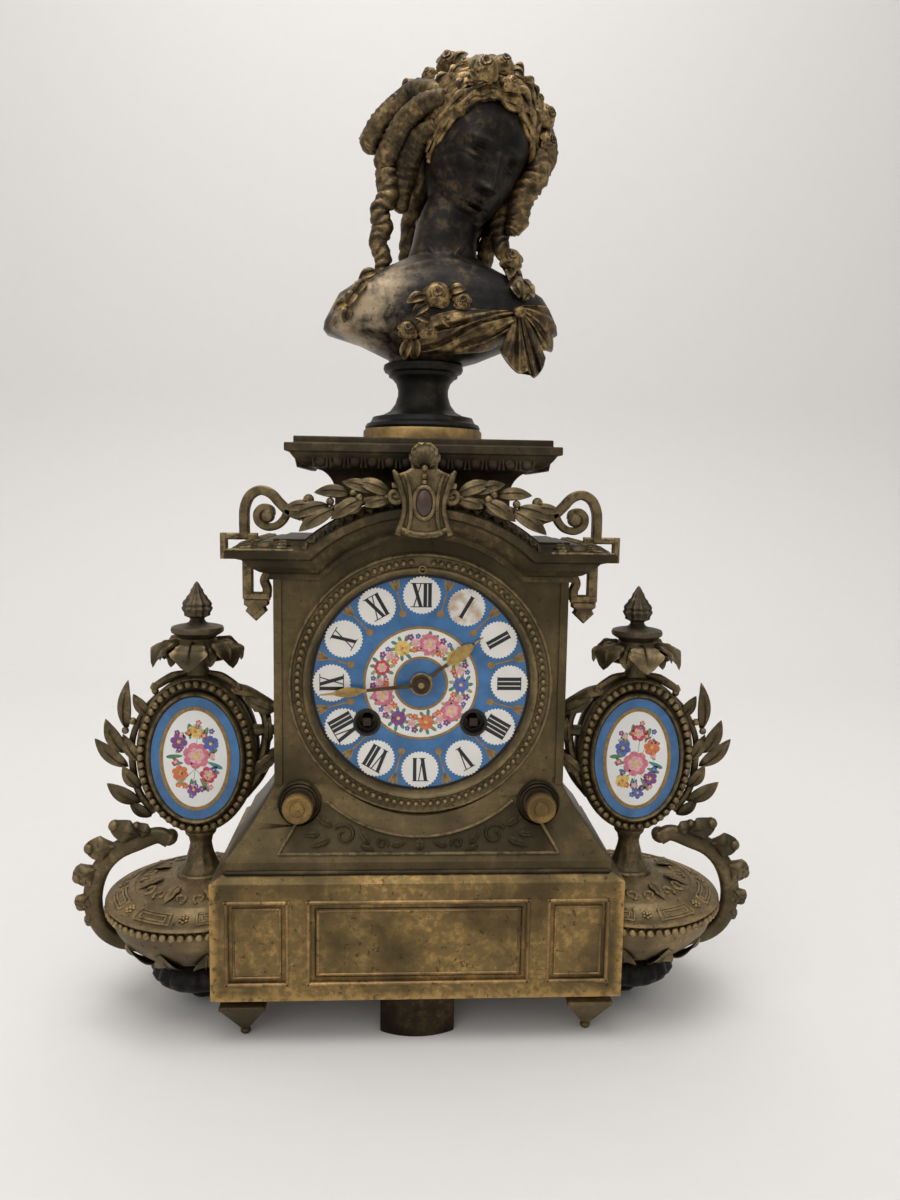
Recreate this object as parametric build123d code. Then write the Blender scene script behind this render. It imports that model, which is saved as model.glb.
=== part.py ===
from build123d import *
import math
import os

os.makedirs("parts", exist_ok=True)

# Clearances between separate pieces
fit = 0.3
run_gap = 0.05
grip = 0.02

# Dial group
dial_radius = 42.2
dial_thickness = 3.0
dial_sink = 2.0
dial_bore_gap = 0.5
pan_thickness = 1.2
motion_space = 6.0
bezel_lip = dial_radius - 0.5
bezel_tube = dial_radius + 5.8
bezel_tube_wall = 2.0
bezel_tube_depth = 9.0
bezel_radius = bezel_tube + 2.0
bezel_flange = 1.6
bezel_bead_circle = bezel_tube - 1.5
bezel_bead = 1.3
winding_x = 20.4
winding_drop = 15.2
eyelet_flange = 5.25
eyelet_tube = 4.75
eyelet_bore = 4.2
eyelet_rim = 0.6
regulator_rise = bezel_lip + 2.0
regulator_radius = 1.2
minute_length = dial_radius - 3.6
hour_length = dial_radius - 12.6
hand_thickness = 0.9
shown_minutes = 44.0
shown_hours = 1.0

# Movement
plate_radius = dial_radius - 2.2
plate_thickness = 1.8
plate_space = 24.0
pillar_radius = 2.5
pillar_circle = plate_radius - 4.5
post_circle = plate_radius - 4.0
post_radius = 2.0
arbor_radius = 1.2
fine_arbor = 0.9
stud_radius = 0.7
winding_radius = 2.2
winding_square = 3.0
barrel_radius = 14.2
barrel_height = 13.0
wheel_thickness = 1.2
barrel_module = 0.5
barrel_teeth = 62
second_pinion = 10
second_module = 0.4
second_teeth = 60
centre_pinion = 10
centre_module = 0.35
centre_teeth = 64
third_pinion = 8
third_module = 0.3
third_teeth = 70
escape_pinion = 8
escape_radius = 8.0
escape_teeth = 30
escape_notch = 1.3
cannon_module = 0.4
cannon_teeth = 12
minute_teeth = 36
minute_pinion = 10
hour_teeth = 40
pipe_radius = 1.8
hour_pipe = 2.6
anchor_rise = 11.5
pendulum_gap = 3.7
pendulum_length = 108.0
bob_radius = 12.0
bob_thickness = 6.0
bell_gap = 6.7
bell_radius = 27.0
bell_depth = 9.0
bell_wall = 1.2
bell_drop = 2.0
back_gap = 0.5
hammer_x = -24.0
hammer_rise = 20.0
hammer_head = 3.0
hammer_gap = 0.5
door_radius = 43.4
door_thickness = 1.4
rear_tube = door_radius
rear_tube_wall = 2.0
rear_flange = rear_tube + 4.1
rear_clear = 4.5
rear_reach = 4.0
hinge_x = -rear_flange
knuckle_radius = 1.8
knuckle_height = 5.0
pin_radius = 0.8

# Case, deep enough for the movement and wide enough for the bezel
case_margin = 5.2
case_setback = 14.0
case_wall = 3.0
skirt_step = 4.4
skirt_rise = 31.4
border_width = 3.0
border_rise = 0.8
arch_drop = 35.3
arch_radius = bezel_radius + 1.5
case_width = 2 * (bezel_radius + case_margin)
movement_depth = motion_space + 2 * plate_thickness + plate_space + bell_gap + bell_depth
case_depth = dial_sink + dial_thickness + pan_thickness + movement_depth + back_gap
dial_height = bezel_radius + 20.2
case_height = dial_height + 39.4

# Base
base_overhang = 22.6
base_width = case_width + 2 * base_overhang
base_depth = case_depth + 2 * case_setback
base_height = 46.0
base_wall = 3.0
foot_height = 18.2
ledge_rise = 2.4
ledge_inset = 3.8
skirt_inset = 1.0
panel_depth = 1.2
panel_field = 0.8
panel_height = 32.0
panel_border = 2.6
panel_drop = 0.2
side_panel_width = 22.5
side_panel_x = base_width / 2 - 17.5
panel_gap = 7.8
centre_panel_width = 2 * side_panel_x - side_panel_width - 2 * panel_gap
pad_thickness = 4.0
pad_size = 22.0
pad_inset = 1.0
foot_block = 17.5
foot_block_height = 8.2
foot_tip = 4.0
foot_side_inset = 2.8
centre_foot_width = 28.8
centre_foot_depth = 16.0
centre_foot_setback = 5.0
centre_foot_bow = 4.0
bob_slot_width = 62.0
bob_slot_depth = 24.0

front = -base_depth / 2
case_front = front + case_setback
case_back = -case_front
base_top = foot_height + base_height
skirt_z = base_top + ledge_rise
soffit_z = skirt_z + case_height
waist_z = skirt_z + skirt_rise
arch_z = soffit_z - arch_drop
dial_z = skirt_z + dial_height
skirt_half = base_width / 2 - ledge_inset - skirt_inset
skirt_front = front + ledge_inset

# Levels from the dial to the rear door
dial_front = case_front + dial_sink
dial_back = dial_front + dial_thickness
pan_back = dial_back + pan_thickness
plate_front = pan_back + motion_space
space_front = plate_front + plate_thickness
space_back = space_front + plate_space
plate_back = space_back + plate_thickness
pendulum_y = plate_back + pendulum_gap
bell_front = plate_back + bell_gap
bell_back = bell_front + bell_depth
rear_end = case_back + rear_reach
door_front = rear_end + fit

# Cornice
cornice_out = 16.0
cornice_forward = 10.0
cornice_edge = 11.0
cornice_slab = 2.8
cornice_height = 15.0
arch_steps = 12

# Top plinth
neck_half = 33.1
ovolo_half = 41.2
slab_half = 50.0
top_step_half = 47.0
plan_difference = 13.0
neck_rise = 2.6
cavetto_rise = 7.5
ovolo_rise = 5.5
slab_rise = 3.0
top_step_rise = 2.5

crown_z = arch_z + arch_radius + cornice_height
plinth_neck_z = crown_z + neck_rise
plinth_ovolo_z = plinth_neck_z + cavetto_rise
plinth_slab_z = plinth_ovolo_z + ovolo_rise
plinth_top = plinth_slab_z + slab_rise + top_step_rise

# Bust and socle
bust_y = front + 40.0
bust_height = 114.5
head_height = 0.472 * bust_height
head_tilt = 14
head_turn = 25
head_nod = 18
socle_radius = 23.3
socle_neck = 9.5
socle_top_radius = 15.7
socle_height = 30.0
socle_band = 5.0
socle_lip = 2.2
rod_radius = 2.5
rod_reach = 14.0
nut_radius = 5.0
nut_height = 3.0
bust_bottom = plinth_top + socle_height

# Urns at the two sides
urn_gap = 10.7
urn_x = base_width / 2 + urn_gap
urn_y = front + 38.0
bun_radius = 20.0
bun_top = 21.0
bun_swell = 2.6
ball_radius = 6.5
ball_flat = 2.2
bowl_radius = 37.5
rim_z = 42.0
rim_height = 4.6
dome_top = 53.0
stem_foot = 9.8
stem_waist = 4.2
stem_peg = 5.4
peg_rise = 4.0
stem_top = 73.2
medallion_half = 23.6
medallion_tall = 32.0
medallion_depth = 18.0
medallion_seat = 1.4
medallion_edge = 2.6
plaque_half = 17.3
plaque_tall = 24.8
plaque_thickness = 3.0
plaque_sink = 1.2
plaque_drop = 0.8
bead_half = 20.4
bead_tall = 28.8
bead_band = 1.2
canopy_radius = 15.9
canopy_height = 15.6
canopy_neck = 4.3
canopy_seat = 7.0
finial_height = 22.5
disc_radius = 10.2
cone_radius = 5.7
arm_thickness = 3.0
arm_y = front + 28.0
arm_knob = 4.2
leaf_thickness = 2.4
arm_leaf_width = 6.5
spray_leaf_width = 9.0
strap_depth = 8.0
medallion_z = stem_top + medallion_tall - medallion_seat
medallion_front = urn_y - medallion_depth / 2
canopy_z = medallion_z + medallion_tall - 1.0

# Front ornaments
boss_x = bezel_radius - 4.4
boss_z = skirt_z + 24.8
boss_seat = case_front - 1.0
boss_roundel = 8.0
boss_flange = 1.8
boss_radius = 5.6
boss_reach = 9.6
boss_tip = 2.0
cartouche_thickness = 3.5
laurel_radius = arch_radius + 18.5
laurel_thick = 5.5
laurel_y = front + 9.0
laurel_from = 6.0
laurel_to = 44.0
laurel_steps = 14
laurel_sides = 10
bracket_y = front + 20.2
bracket_thickness = 3.6
bracket_bar = 4.0


def at_front(y):
    return Plane((0, y, 0), x_dir=(1, 0, 0), z_dir=(0, -1, 0))


def prism(outline, y0, y1):
    return extrude(at_front(y1) * outline, amount=y1 - y0)


def rod(x, z, radius, y0, y1):
    return Pos(x, (y0 + y1) / 2, z) * Rot(90, 0, 0) * Cylinder(radius, y1 - y0)


def outline(points):
    return make_face(Polyline(*points, close=True))


def turned(runs, x=0.0, y=0.0):
    edges = []
    for run in runs:
        if len(run) == 2:
            edges.append(Line(*run))
        else:
            edges.append(Spline(*run))
    face = make_face(edges)
    return Pos(x, y, 0) * revolve(Plane.XZ * face, axis=Axis.Z)


def save(shape, name):
    export_step(shape, "parts/" + name + ".step")


def mirrored(shape):
    return mirror(shape, about=Plane.YZ)


# Round wheel with straight teeth, one tooth or one gap at the given angle
def toothed(x, z, teeth, module, y0, y1, angle, gap=False):
    pitch = 2 * math.pi / teeth
    turn = angle + (pitch / 2 if gap else 0.0)
    radius = teeth * module / 2
    points = []
    for i in range(teeth):
        mid = turn + i * pitch
        shape = [(-0.27, -1.1), (-0.09, 0.7), (0.09, 0.7), (0.27, -1.1)]
        for part, height in shape:
            r = radius + height * module
            a = mid + part * pitch
            points.append((x + r * math.cos(a), z + r * math.sin(a)))
    return prism(outline(points), y0, y1)


# Flat bar between two points of the front plane
def bar(a, b, half, y0, y1):
    way = math.atan2(b[1] - a[1], b[0] - a[0])
    length = math.dist(a, b)
    mid = ((a[0] + b[0]) / 2, (a[1] + b[1]) / 2)
    return prism(Pos(*mid) * Rotation(0, 0, math.degrees(way)) * Rectangle(length, 2 * half), y0, y1)


def heading(a, b):
    return math.atan2(b[1] - a[1], b[0] - a[0])


# Place of an arbor at set distances from two others
def between(a, ra, b, rb, side):
    d = math.dist(a, b)
    along = (ra * ra - rb * rb + d * d) / (2 * d)
    off = side * math.sqrt(ra * ra - along * along)
    ux = (b[0] - a[0]) / d
    uz = (b[1] - a[1]) / d
    return (a[0] + along * ux - off * uz, a[1] + along * uz + off * ux)


# Base plinth
half_w = base_width / 2
base = Pos(0, 0, foot_height + base_height / 2) * Box(base_width, base_depth, base_height)
ledge_angle = math.degrees(math.atan2(ledge_inset, ledge_rise))
base += Pos(0, 0, base_top) * extrude(Rectangle(base_width, base_depth), amount=ledge_rise, taper=ledge_angle)
cavity_height = base_height - base_wall + ledge_rise
base -= Pos(0, 0, foot_height + cavity_height / 2 - 1) * Box(
    base_width - 2 * base_wall, base_depth - 2 * base_wall, cavity_height + 2)
deck_width = 2 * skirt_half - 4
deck_depth = base_depth - 2 * ledge_inset - 4
base += Pos(0, 0, skirt_z - base_wall / 2) * Box(deck_width, deck_depth, base_wall)
base -= Pos(0, pendulum_y, base_top) * Box(bob_slot_width, bob_slot_depth, 20)
pad_x = half_w - pad_size / 2 - pad_inset
pad_y = base_depth / 2 - pad_size / 2 - pad_inset
pads = [(sx * pad_x, sy * pad_y) for sx in (-1, 1) for sy in (-1, 1)]
pads.append((0, -pad_y))
for px, py in pads:
    base += Pos(px, py, foot_height + pad_thickness / 2) * Box(pad_size, pad_size, pad_thickness)
panel_mid = foot_height + base_height / 2 - panel_drop
panels = [(0, centre_panel_width), (-side_panel_x, side_panel_width), (side_panel_x, side_panel_width)]
for px, width in panels:
    base -= Pos(px, front, panel_mid) * Box(width, 2 * panel_depth, panel_height)
    inner_w = width - 2 * panel_border
    inner_h = panel_height - 2 * panel_border
    base += Pos(px, front + panel_depth - panel_field / 4, panel_mid) * Box(inner_w, panel_field, inner_h)
save(base, "base_plinth")

# Pointed corner feet
foot_x = half_w - foot_block / 2 - foot_side_inset
foot_y = base_depth / 2 - foot_block / 2 - pad_inset
feet = []
for sx in (-1, 1):
    for sy in (-1, 1):
        block_low = foot_height - foot_block_height
        block = Pos(0, 0, foot_height - foot_block_height / 2)
        block = block * Box(foot_block, foot_block, foot_block_height)
        top = Plane((0, 0, block_low)) * Rectangle(foot_block - 2, foot_block - 2)
        tip = Plane.XY * Rectangle(foot_tip, foot_tip)
        point = loft([tip, top])
        feet.append(Pos(sx * foot_x, sy * foot_y, 0) * (block + point))
save(Compound(feet), "corner_feet")

# Centre block under the base
block_half = centre_foot_width / 2
block_y = front + centre_foot_setback
block_back = block_y + centre_foot_depth
block_side = block_y + centre_foot_bow
centre_outline = make_face([
    Line((-block_half, block_back), (block_half, block_back)),
    Line((block_half, block_back), (block_half, block_side)),
    ThreePointArc((block_half, block_side), (0, block_y), (-block_half, block_side)),
    Line((-block_half, block_side), (-block_half, block_back)),
])
save(extrude(centre_outline, amount=foot_height), "centre_foot")


# Front view of the case, drawn in by a wall thickness
def case_face(wall):
    half = case_width / 2 - wall
    low = skirt_half - wall
    radius = arch_radius - wall
    top = soffit_z - wall
    start = math.sqrt(radius ** 2 - (top - arch_z) ** 2)
    mid_x = (low + half) / 2 - 1.4
    mid_z = (skirt_z + skirt_step + waist_z) / 2
    edges = [Line((-low, skirt_z), (low, skirt_z)), Line((low, skirt_z), (low, skirt_z + skirt_step))]
    edges.append(ThreePointArc((low, skirt_z + skirt_step), (mid_x, mid_z), (half, waist_z)))
    edges.append(Line((half, waist_z), (half, top)))
    edges.append(Line((half, top), (start, top)))
    edges.append(ThreePointArc((start, top), (0, arch_z + radius), (-start, top)))
    edges.append(Line((-start, top), (-half, top)))
    edges.append(Line((-half, top), (-half, waist_z)))
    edges.append(ThreePointArc((-half, waist_z), (-mid_x, mid_z), (-low, skirt_z + skirt_step)))
    edges.append(Line((-low, skirt_z + skirt_step), (-low, skirt_z)))
    return prism(make_face(edges), -base_depth, base_depth)


# Side view of the case, drawn in by a wall thickness
def case_side(wall):
    low = -skirt_front - wall
    half = -case_front - wall
    mid_y = (low + half) / 2 - 1.0
    mid_z = (skirt_z + skirt_step + waist_z) / 2
    top = arch_z + arch_radius + 20
    edges = [Line((-low, skirt_z), (low, skirt_z)), Line((low, skirt_z), (low, skirt_z + skirt_step))]
    edges.append(ThreePointArc((low, skirt_z + skirt_step), (mid_y, mid_z), (half, waist_z)))
    edges.append(Line((half, waist_z), (half, top)))
    edges.append(Line((half, top), (-half, top)))
    edges.append(Line((-half, top), (-half, waist_z)))
    edges.append(ThreePointArc((-half, waist_z), (-mid_y, mid_z), (-low, skirt_z + skirt_step)))
    edges.append(Line((-low, skirt_z + skirt_step), (-low, skirt_z)))
    return Pos(-base_width, 0, 0) * extrude(Plane.YZ * make_face(edges), amount=2 * base_width)


# Case shell with front and rear openings
case = case_face(0) & case_side(0)
case -= case_face(case_wall) & case_side(case_wall)
for sx in (-1, 1):
    border_x = sx * (case_width / 2 - border_width / 2)
    border_h = soffit_z - waist_z
    case += Pos(border_x, case_front, waist_z + border_h / 2) * Box(border_width, 2 * border_rise, border_h)
case -= rod(0, dial_z, bezel_tube + fit, case_front - 20, case_front + 8)
case -= rod(0, dial_z, bezel_radius + fit, case_front - 20, case_front)
case -= rod(0, dial_z, rear_tube + fit, case_back - 8, case_back + 20)
case -= rod(0, dial_z, rear_flange + rear_clear, case_back, case_back + 20)
for sx in (-1, 1):
    case -= rod(sx * boss_x, boss_z, boss_roundel + fit, boss_seat - 20, boss_seat)
case -= Pos(0, bust_y, crown_z) * Cylinder(rod_radius + fit, 80)
save(case, "case_shell")

# Corner bosses
bosses = []
for sx in (-1, 1):
    boss = rod(sx * boss_x, boss_z, boss_roundel, boss_seat - boss_flange, boss_seat)
    boss += rod(sx * boss_x, boss_z, boss_radius, boss_seat - boss_reach, boss_seat - boss_flange)
    boss += rod(sx * boss_x, boss_z, boss_tip, boss_seat - boss_reach - boss_tip / 2, boss_seat - boss_reach)
    bosses.append(boss)
save(Compound(bosses), "corner_bosses")

# Section of the cornice as outward and upward steps from the soffit
cornice_profile = [
    (-3.0, 1.0), (1.5, 0.0), (1.5, 2.0), (4.5, 2.8), (8.0, 4.8), (10.5, 7.4),
    (cornice_out - 2.5, cornice_edge - cornice_slab),
    (cornice_out, cornice_edge - cornice_slab), (cornice_out, cornice_edge),
    (cornice_out - 4.0, cornice_edge + 1.2), (4.0, cornice_height - 0.8), (-3.0, cornice_height - 1.0),
]
forward = cornice_forward / cornice_out
half_c = case_width / 2


def arch_start(h):
    return math.sqrt((arch_radius + h) ** 2 - (arch_drop + h) ** 2)


def station(place):
    points = []
    for p, h in cornice_profile:
        out_y = case_front - p * forward
        z = soffit_z + h
        if place[0] == "end":
            points.append((place[1] * (half_c + p), case_back, z))
        elif place[0] == "corner":
            points.append((place[1] * (half_c + p), out_y, z))
        else:
            angle = place[1] * math.atan2(arch_start(h), arch_drop + h)
            r = arch_radius + h
            points.append((r * math.sin(angle), out_y, arch_z + r * math.cos(angle)))
    return Wire.make_polygon([Vector(*q) for q in points], close=True)


places = [("end", -1), ("corner", -1)]
places += [("arch", -1 + 2 * i / arch_steps) for i in range(arch_steps + 1)]
places += [("corner", 1), ("end", 1)]
cornice = Solid.make_loft([station(p) for p in places], ruled=True)
low_r = arch_radius + fit
top_r = arch_radius + cornice_height
low_x = math.sqrt(low_r ** 2 - arch_drop ** 2)
top_x = arch_start(cornice_height)
roof = make_face([
    Line((-half_c, soffit_z), (-low_x, soffit_z)),
    ThreePointArc((-low_x, soffit_z), (0, arch_z + low_r), (low_x, soffit_z)),
    Line((low_x, soffit_z), (half_c, soffit_z)),
    Line((half_c, soffit_z), (half_c, soffit_z + cornice_height)),
    Line((half_c, soffit_z + cornice_height), (top_x, soffit_z + cornice_height)),
    ThreePointArc((top_x, soffit_z + cornice_height), (0, crown_z), (-top_x, soffit_z + cornice_height)),
    Line((-top_x, soffit_z + cornice_height), (-half_c, soffit_z + cornice_height)),
    Line((-half_c, soffit_z + cornice_height), (-half_c, soffit_z)),
])
cornice = prism(roof, case_front, case_back) + cornice
cornice -= Pos(0, bust_y, crown_z) * Cylinder(rod_radius + fit, 60)
save(cornice, "cornice")


# Top plinth as two crossed mouldings
def plinth_view(less):
    half = [(neck_half - less, plinth_neck_z - 20), (neck_half - less, plinth_neck_z)]
    neck_to = (ovolo_half - 1.2 - less, plinth_ovolo_z)
    ovolo = (ovolo_half - less, plinth_ovolo_z)
    under = (slab_half - 1.5 - less, plinth_slab_z)
    runs = [Line((-half[0][0], half[0][1]), half[0]), Line(half[0], half[1])]
    bend = ((half[1][0] * 0.7 + neck_to[0] * 0.3), plinth_neck_z + cavetto_rise * 0.6)
    runs.append(ThreePointArc(half[1], bend, neck_to))
    runs.append(Line(neck_to, ovolo))
    swell = (ovolo[0] * 0.35 + under[0] * 0.65, plinth_ovolo_z + ovolo_rise * 0.42)
    runs.append(ThreePointArc(ovolo, swell, under))
    steps = [under, (slab_half - less, plinth_slab_z), (slab_half - less, plinth_slab_z + slab_rise)]
    steps += [(top_step_half - less, plinth_slab_z + slab_rise), (top_step_half - less, plinth_top)]
    for a, b in zip(steps, steps[1:]):
        runs.append(Line(a, b))
    right = Curve() + runs[1:]
    left = mirror(right, about=Plane.YZ)
    closing = Line((-steps[-1][0], plinth_top), steps[-1])
    return make_face(Curve() + [runs[0]] + runs[1:] + list(left.edges()) + [closing])


plinth = prism(plinth_view(0), -base_depth, base_depth)
side = Pos(-base_width, 0, 0) * extrude(Plane.YZ * plinth_view(plan_difference), amount=2 * base_width)
plinth = plinth & side
plinth -= rod(0, arch_z, top_r + fit, -base_depth, base_depth)
plinth -= Pos(0, bust_y, plinth_top) * Cylinder(rod_radius + fit, 120)
save(plinth, "bust_plinth")

# Turned socle under the bust
band = plinth_top + socle_band
lip = bust_bottom - socle_lip
socle = turned([
    [(0, plinth_top), (socle_radius, plinth_top)],
    [(socle_radius, plinth_top), (socle_radius, band)],
    [(socle_radius, band), (socle_radius - 3.0, band)],
    [(socle_radius - 3.0, band), (socle_radius - 4.7, band + 3.6), (socle_neck + 2.0, band + 8.5),
     (socle_neck, band + 13.7), (socle_neck + 1.6, band + 18.5), (socle_top_radius, lip)],
    [(socle_top_radius, lip), (socle_top_radius, bust_bottom)],
    [(socle_top_radius, bust_bottom), (0, bust_bottom)],
    [(0, bust_bottom), (0, plinth_top)],
], 0, bust_y)
socle -= Pos(0, bust_y, bust_bottom) * Cylinder(rod_radius + fit, 120)
save(socle, "bust_socle")


# Bust torso as a run of ovals, in hundredths of the bust's height
share = bust_height / 100


def bust_point(x, y, z):
    return Vector(x * share, bust_y + y * share, bust_bottom + z * share)


def oval(x, z, wide, deep, dy=0.0):
    return Plane(bust_point(x, dy, z)) * Ellipse(wide * share, deep * share)


def tube(spots, radii):
    path = Spline(*spots)
    last = len(radii) - 1
    rounds = []
    for i, radius in enumerate(radii):
        at = i / last
        rounds.append(Plane(path @ at, z_dir=path % at) * Circle(radius))
    return loft(rounds)


def strand(spots, radii):
    return tube([bust_point(*spot) for spot in spots], [radius * share for radius in radii])


def rose(spot, radius, facing):
    way = Vector(*facing).normalized()
    rounds = []
    for along, wide in ((-0.4, 0.7), (0.2, 1.0), (0.7, 0.6)):
        place = Plane(spot + way * (radius * along * share), z_dir=way)
        rounds.append(place * Circle(radius * wide * share))
    return loft(rounds, ruled=True)


collar = oval(7.0, 43.7, 10.4, 10.4)
torso = loft([
    oval(0.9, 0, 12.7, 10.5), oval(3.8, 3.1, 19.2, 13.3), oval(4.3, 7.0, 28.8, 16.2),
    oval(5.9, 11.4, 39.8, 18.6), oval(5.9, 16.2, 38.4, 18.7), oval(5.9, 21.4, 35.3, 17.7),
    oval(5.5, 26.6, 27.9, 15.9), oval(5.4, 31.0, 18.8, 13.4), oval(6.1, 35.4, 11.9, 11.4),
    oval(6.4, 39.5, 10.6, 10.6), collar,
])
torso -= socle

# Drapery across the breast with its bow, and the roses pinned there
upper_fold = [(-2.0, -18.2, 9.6), (7.4, -19.5, 12.7), (15.7, -18.4, 14.8), (30.0, -15.2, 16.6)]
lower_fold = [(-2.6, -15.2, 5.2), (7.4, -16.7, 7.0), (15.7, -16.8, 9.5), (30.0, -15.2, 15.4)]
torso += strand(upper_fold, [1.4, 1.7, 1.5, 1.1])
torso += strand(lower_fold, [1.3, 1.8, 1.6, 1.1])
knot = (30.7, -14.6, 16.2)
for x, y, z in ((27.2, -14.8, 6.4), (32.0, -15.2, 2.9), (37.6, -12.2, 2.0), (40.6, -10.2, 6.0)):
    halfway = ((x + knot[0]) / 2, y - 1.2, (z + knot[2]) / 2 + 0.7)
    torso += strand([knot, halfway, (x, y, z)], [1.5, 1.9, 2.0])
pinned = [(3.8, -18.6, 20.3, 4.9), (-4.0, -17.0, 8.3, 3.2), (3.1, -18.0, 9.0, 2.9), (11.5, -19.0, 17.7, 2.6)]
for x, y, z, radius in pinned:
    torso += rose(bust_point(x, y, z), radius, (0.05, -1, 0.15))
torso -= Pos(0, bust_y, bust_bottom) * Cylinder(rod_radius + fit, 2 * (rod_reach + fit))
save(torso, "bust_torso")

# Head, tilted and turned, as slices in hundredths of its own height
head_unit = head_height / 100
head_pose = Rot(0, head_tilt, 0) * Rot(0, 0, head_turn) * Rot(head_nod, 0, 0)
head_at = Pos(*bust_point(15.7, -0.9, 67.7)) * head_pose


def on_head(x, ahead, height):
    return head_at * Pos(x * head_unit, -ahead * head_unit, height * head_unit)


def head_slice(height, wide, deep, ahead):
    return on_head(0, ahead, height) * Ellipse(wide * head_unit, deep * head_unit)


def head_tube(spots, radii):
    places = [on_head(*spot).position for spot in spots]
    return tube(places, [radius * head_unit for radius in radii])


head = loft([
    head_slice(-49, 9, 8, 16), head_slice(-43, 16, 16, 15), head_slice(-30, 23.5, 25, 11),
    head_slice(-15, 28, 32, 6), head_slice(0, 32, 38, 1), head_slice(15, 34.5, 41, -3),
    head_slice(30, 32, 38, -6), head_slice(42, 22, 27, -6), head_slice(49, 8, 10, -6),
])
head += loft([collar, oval(8.7, 50.0, 10.3, 10.3), oval(12.5, 57.5, 10.2, 10.2)])

# Plain face on the usual canon: nose, lowered lids, brows and lips
head += loft([
    head_slice(8, 2.6, 3.0, 36.5), head_slice(-4, 3.6, 5.5, 37),
    head_slice(-15, 5.8, 8.5, 39), head_slice(-19.5, 4.4, 5.5, 38),
])
for s in (-1, 1):
    head += head_tube([(s * 7, 36.0, 1.0), (s * 14, 33.6, 1.4), (s * 21, 28.0, 0.8)], [1.0, 3.0, 1.0])
    head += head_tube([(s * 5, 38.4, 8.5), (s * 13, 36.2, 11.0), (s * 22, 30.0, 9.0)], [1.0, 1.8, 0.9])
head += head_tube([(-8, 32.6, -29), (0, 35.4, -27.2), (8, 32.6, -29)], [0.8, 2.0, 0.8])
head += head_tube([(-7, 32.4, -30.5), (0, 34.6, -32), (7, 32.4, -30.5)], [0.8, 2.4, 0.8])

# Hair in a cap, with rolled curls, long ringlets at both sides and strands down the nape
cap_slices = []
for lean in range(-75, 76, 25):
    turn = math.radians(lean)
    rise = 16.5 + 48 * math.sin(turn)
    cap_slices.append(head_slice(rise, 38.5 * math.cos(turn), 43 * math.cos(turn), -10))
head += loft(cap_slices)
upper_curl = [(5.2, -9.0, 83.6), (-3.1, -3.5, 86.5), (-9.4, 0, 83.1), (-14.7, 1.7, 78.2), (-18.9, 2.6, 71.7)]
front_curl = [
    (5.2, -13.4, 80.4), (-1.4, -9.6, 79.6), (-6.3, -5.2, 76.6), (-10.3, -3.1, 70.7), (-14, -1.7, 63.8),
]
temple_curl = [
    (2.6, -11.4, 73.8), (-2.3, -6.1, 71.2), (-5.9, -2.6, 64.7), (-7.9, -0.9, 57.2), (-8.2, 0, 51.1),
]
rear_curl = [(2.0, 6.4, 79.0), (-7.4, 7.4, 75.5), (-11.6, 7.4, 68.6), (-13.0, 6.4, 59.8)]
left_ringlet = [
    (-12.9, -1.7, 63), (-12.2, -3, 54.6), (-14.8, -3.7, 46.7), (-14.8, -3.7, 40.5), (-14.4, -4.4, 33.4),
]
right_curl = [
    (36.9, -0.5, 71), (36.9, -1.7, 62.4), (33.7, -2.6, 57.7), (31.4, -2.6, 52.5), (29.6, -2.3, 45.2),
]
right_ringlet = [
    (31.4, 5.2, 67.7), (29.2, 4.4, 57.2), (26.0, 2.6, 48.5), (25.7, 1.2, 42.0), (27.4, -1.6, 35.0),
]
side_curl = [(32.0, 6.0, 79.9), (38.6, 3.5, 77.3), (40.2, 0.9, 69.4), (37.5, 0.9, 62.4)]
head += strand(upper_curl, [2.8, 3.9, 4.4, 4.5, 3.6])
head += strand(front_curl, [2.8, 3.9, 4.4, 4.5, 3.6])
head += strand(temple_curl, [2.4, 3.8, 4.2, 3.8, 2.4])
head += strand(rear_curl, [3.4, 4.3, 4.3, 3.2])
head += strand(left_ringlet, [3.6, 3.8, 3.5, 3.1, 2.4])
head += strand(right_curl, [4.0, 4.6, 4.5, 4.1, 2.8])
head += strand(right_ringlet, [4.0, 4.4, 3.8, 3.3, 2.6])
head += strand(side_curl, [3.4, 4.3, 4.2, 3.0])
for x, lean in ((-1.7, -3.5), (5.2, -1.7), (12.2, 0), (19.2, 1.7), (26.2, 3.5)):
    low = 0.6 * x + 1.5 * lean
    crown = [(x + 2, 16.5, 80.0), (x, 18.6, 66.0)]
    nape = [(0.8 * x + lean, 15.0, 52.0), (low, 15.4, 40.0)]
    head += strand(crown + nape, [3.2, 4.2, 3.8, 2.6])

# Roses worn in the hair and on the right shoulder
roses = [
    (6.9, -2.2, 95.8, 4.1, (-0.25, -0.9, 0.35)), (17.3, -18.7, 86.4, 4.6, (0.1, -0.95, 0.25)),
    (23.6, -16.2, 90.4, 3.0, (0.25, -0.85, 0.4)), (-5.7, -0.5, 89.8, 3.0, (-0.5, -0.8, 0.4)),
    (39.0, -1.7, 81.4, 4.5, (0.6, -0.8, 0.1)), (40.2, -2.3, 73.4, 3.5, (0.6, -0.8, 0.0)),
    (28.8, -3.8, 34.8, 4.4, (0.2, -0.95, 0.3)),
]
for x, y, z, radius, facing in roses:
    head += rose(bust_point(x, y, z), radius, facing)
head -= torso
save(head, "bust_head")

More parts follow.
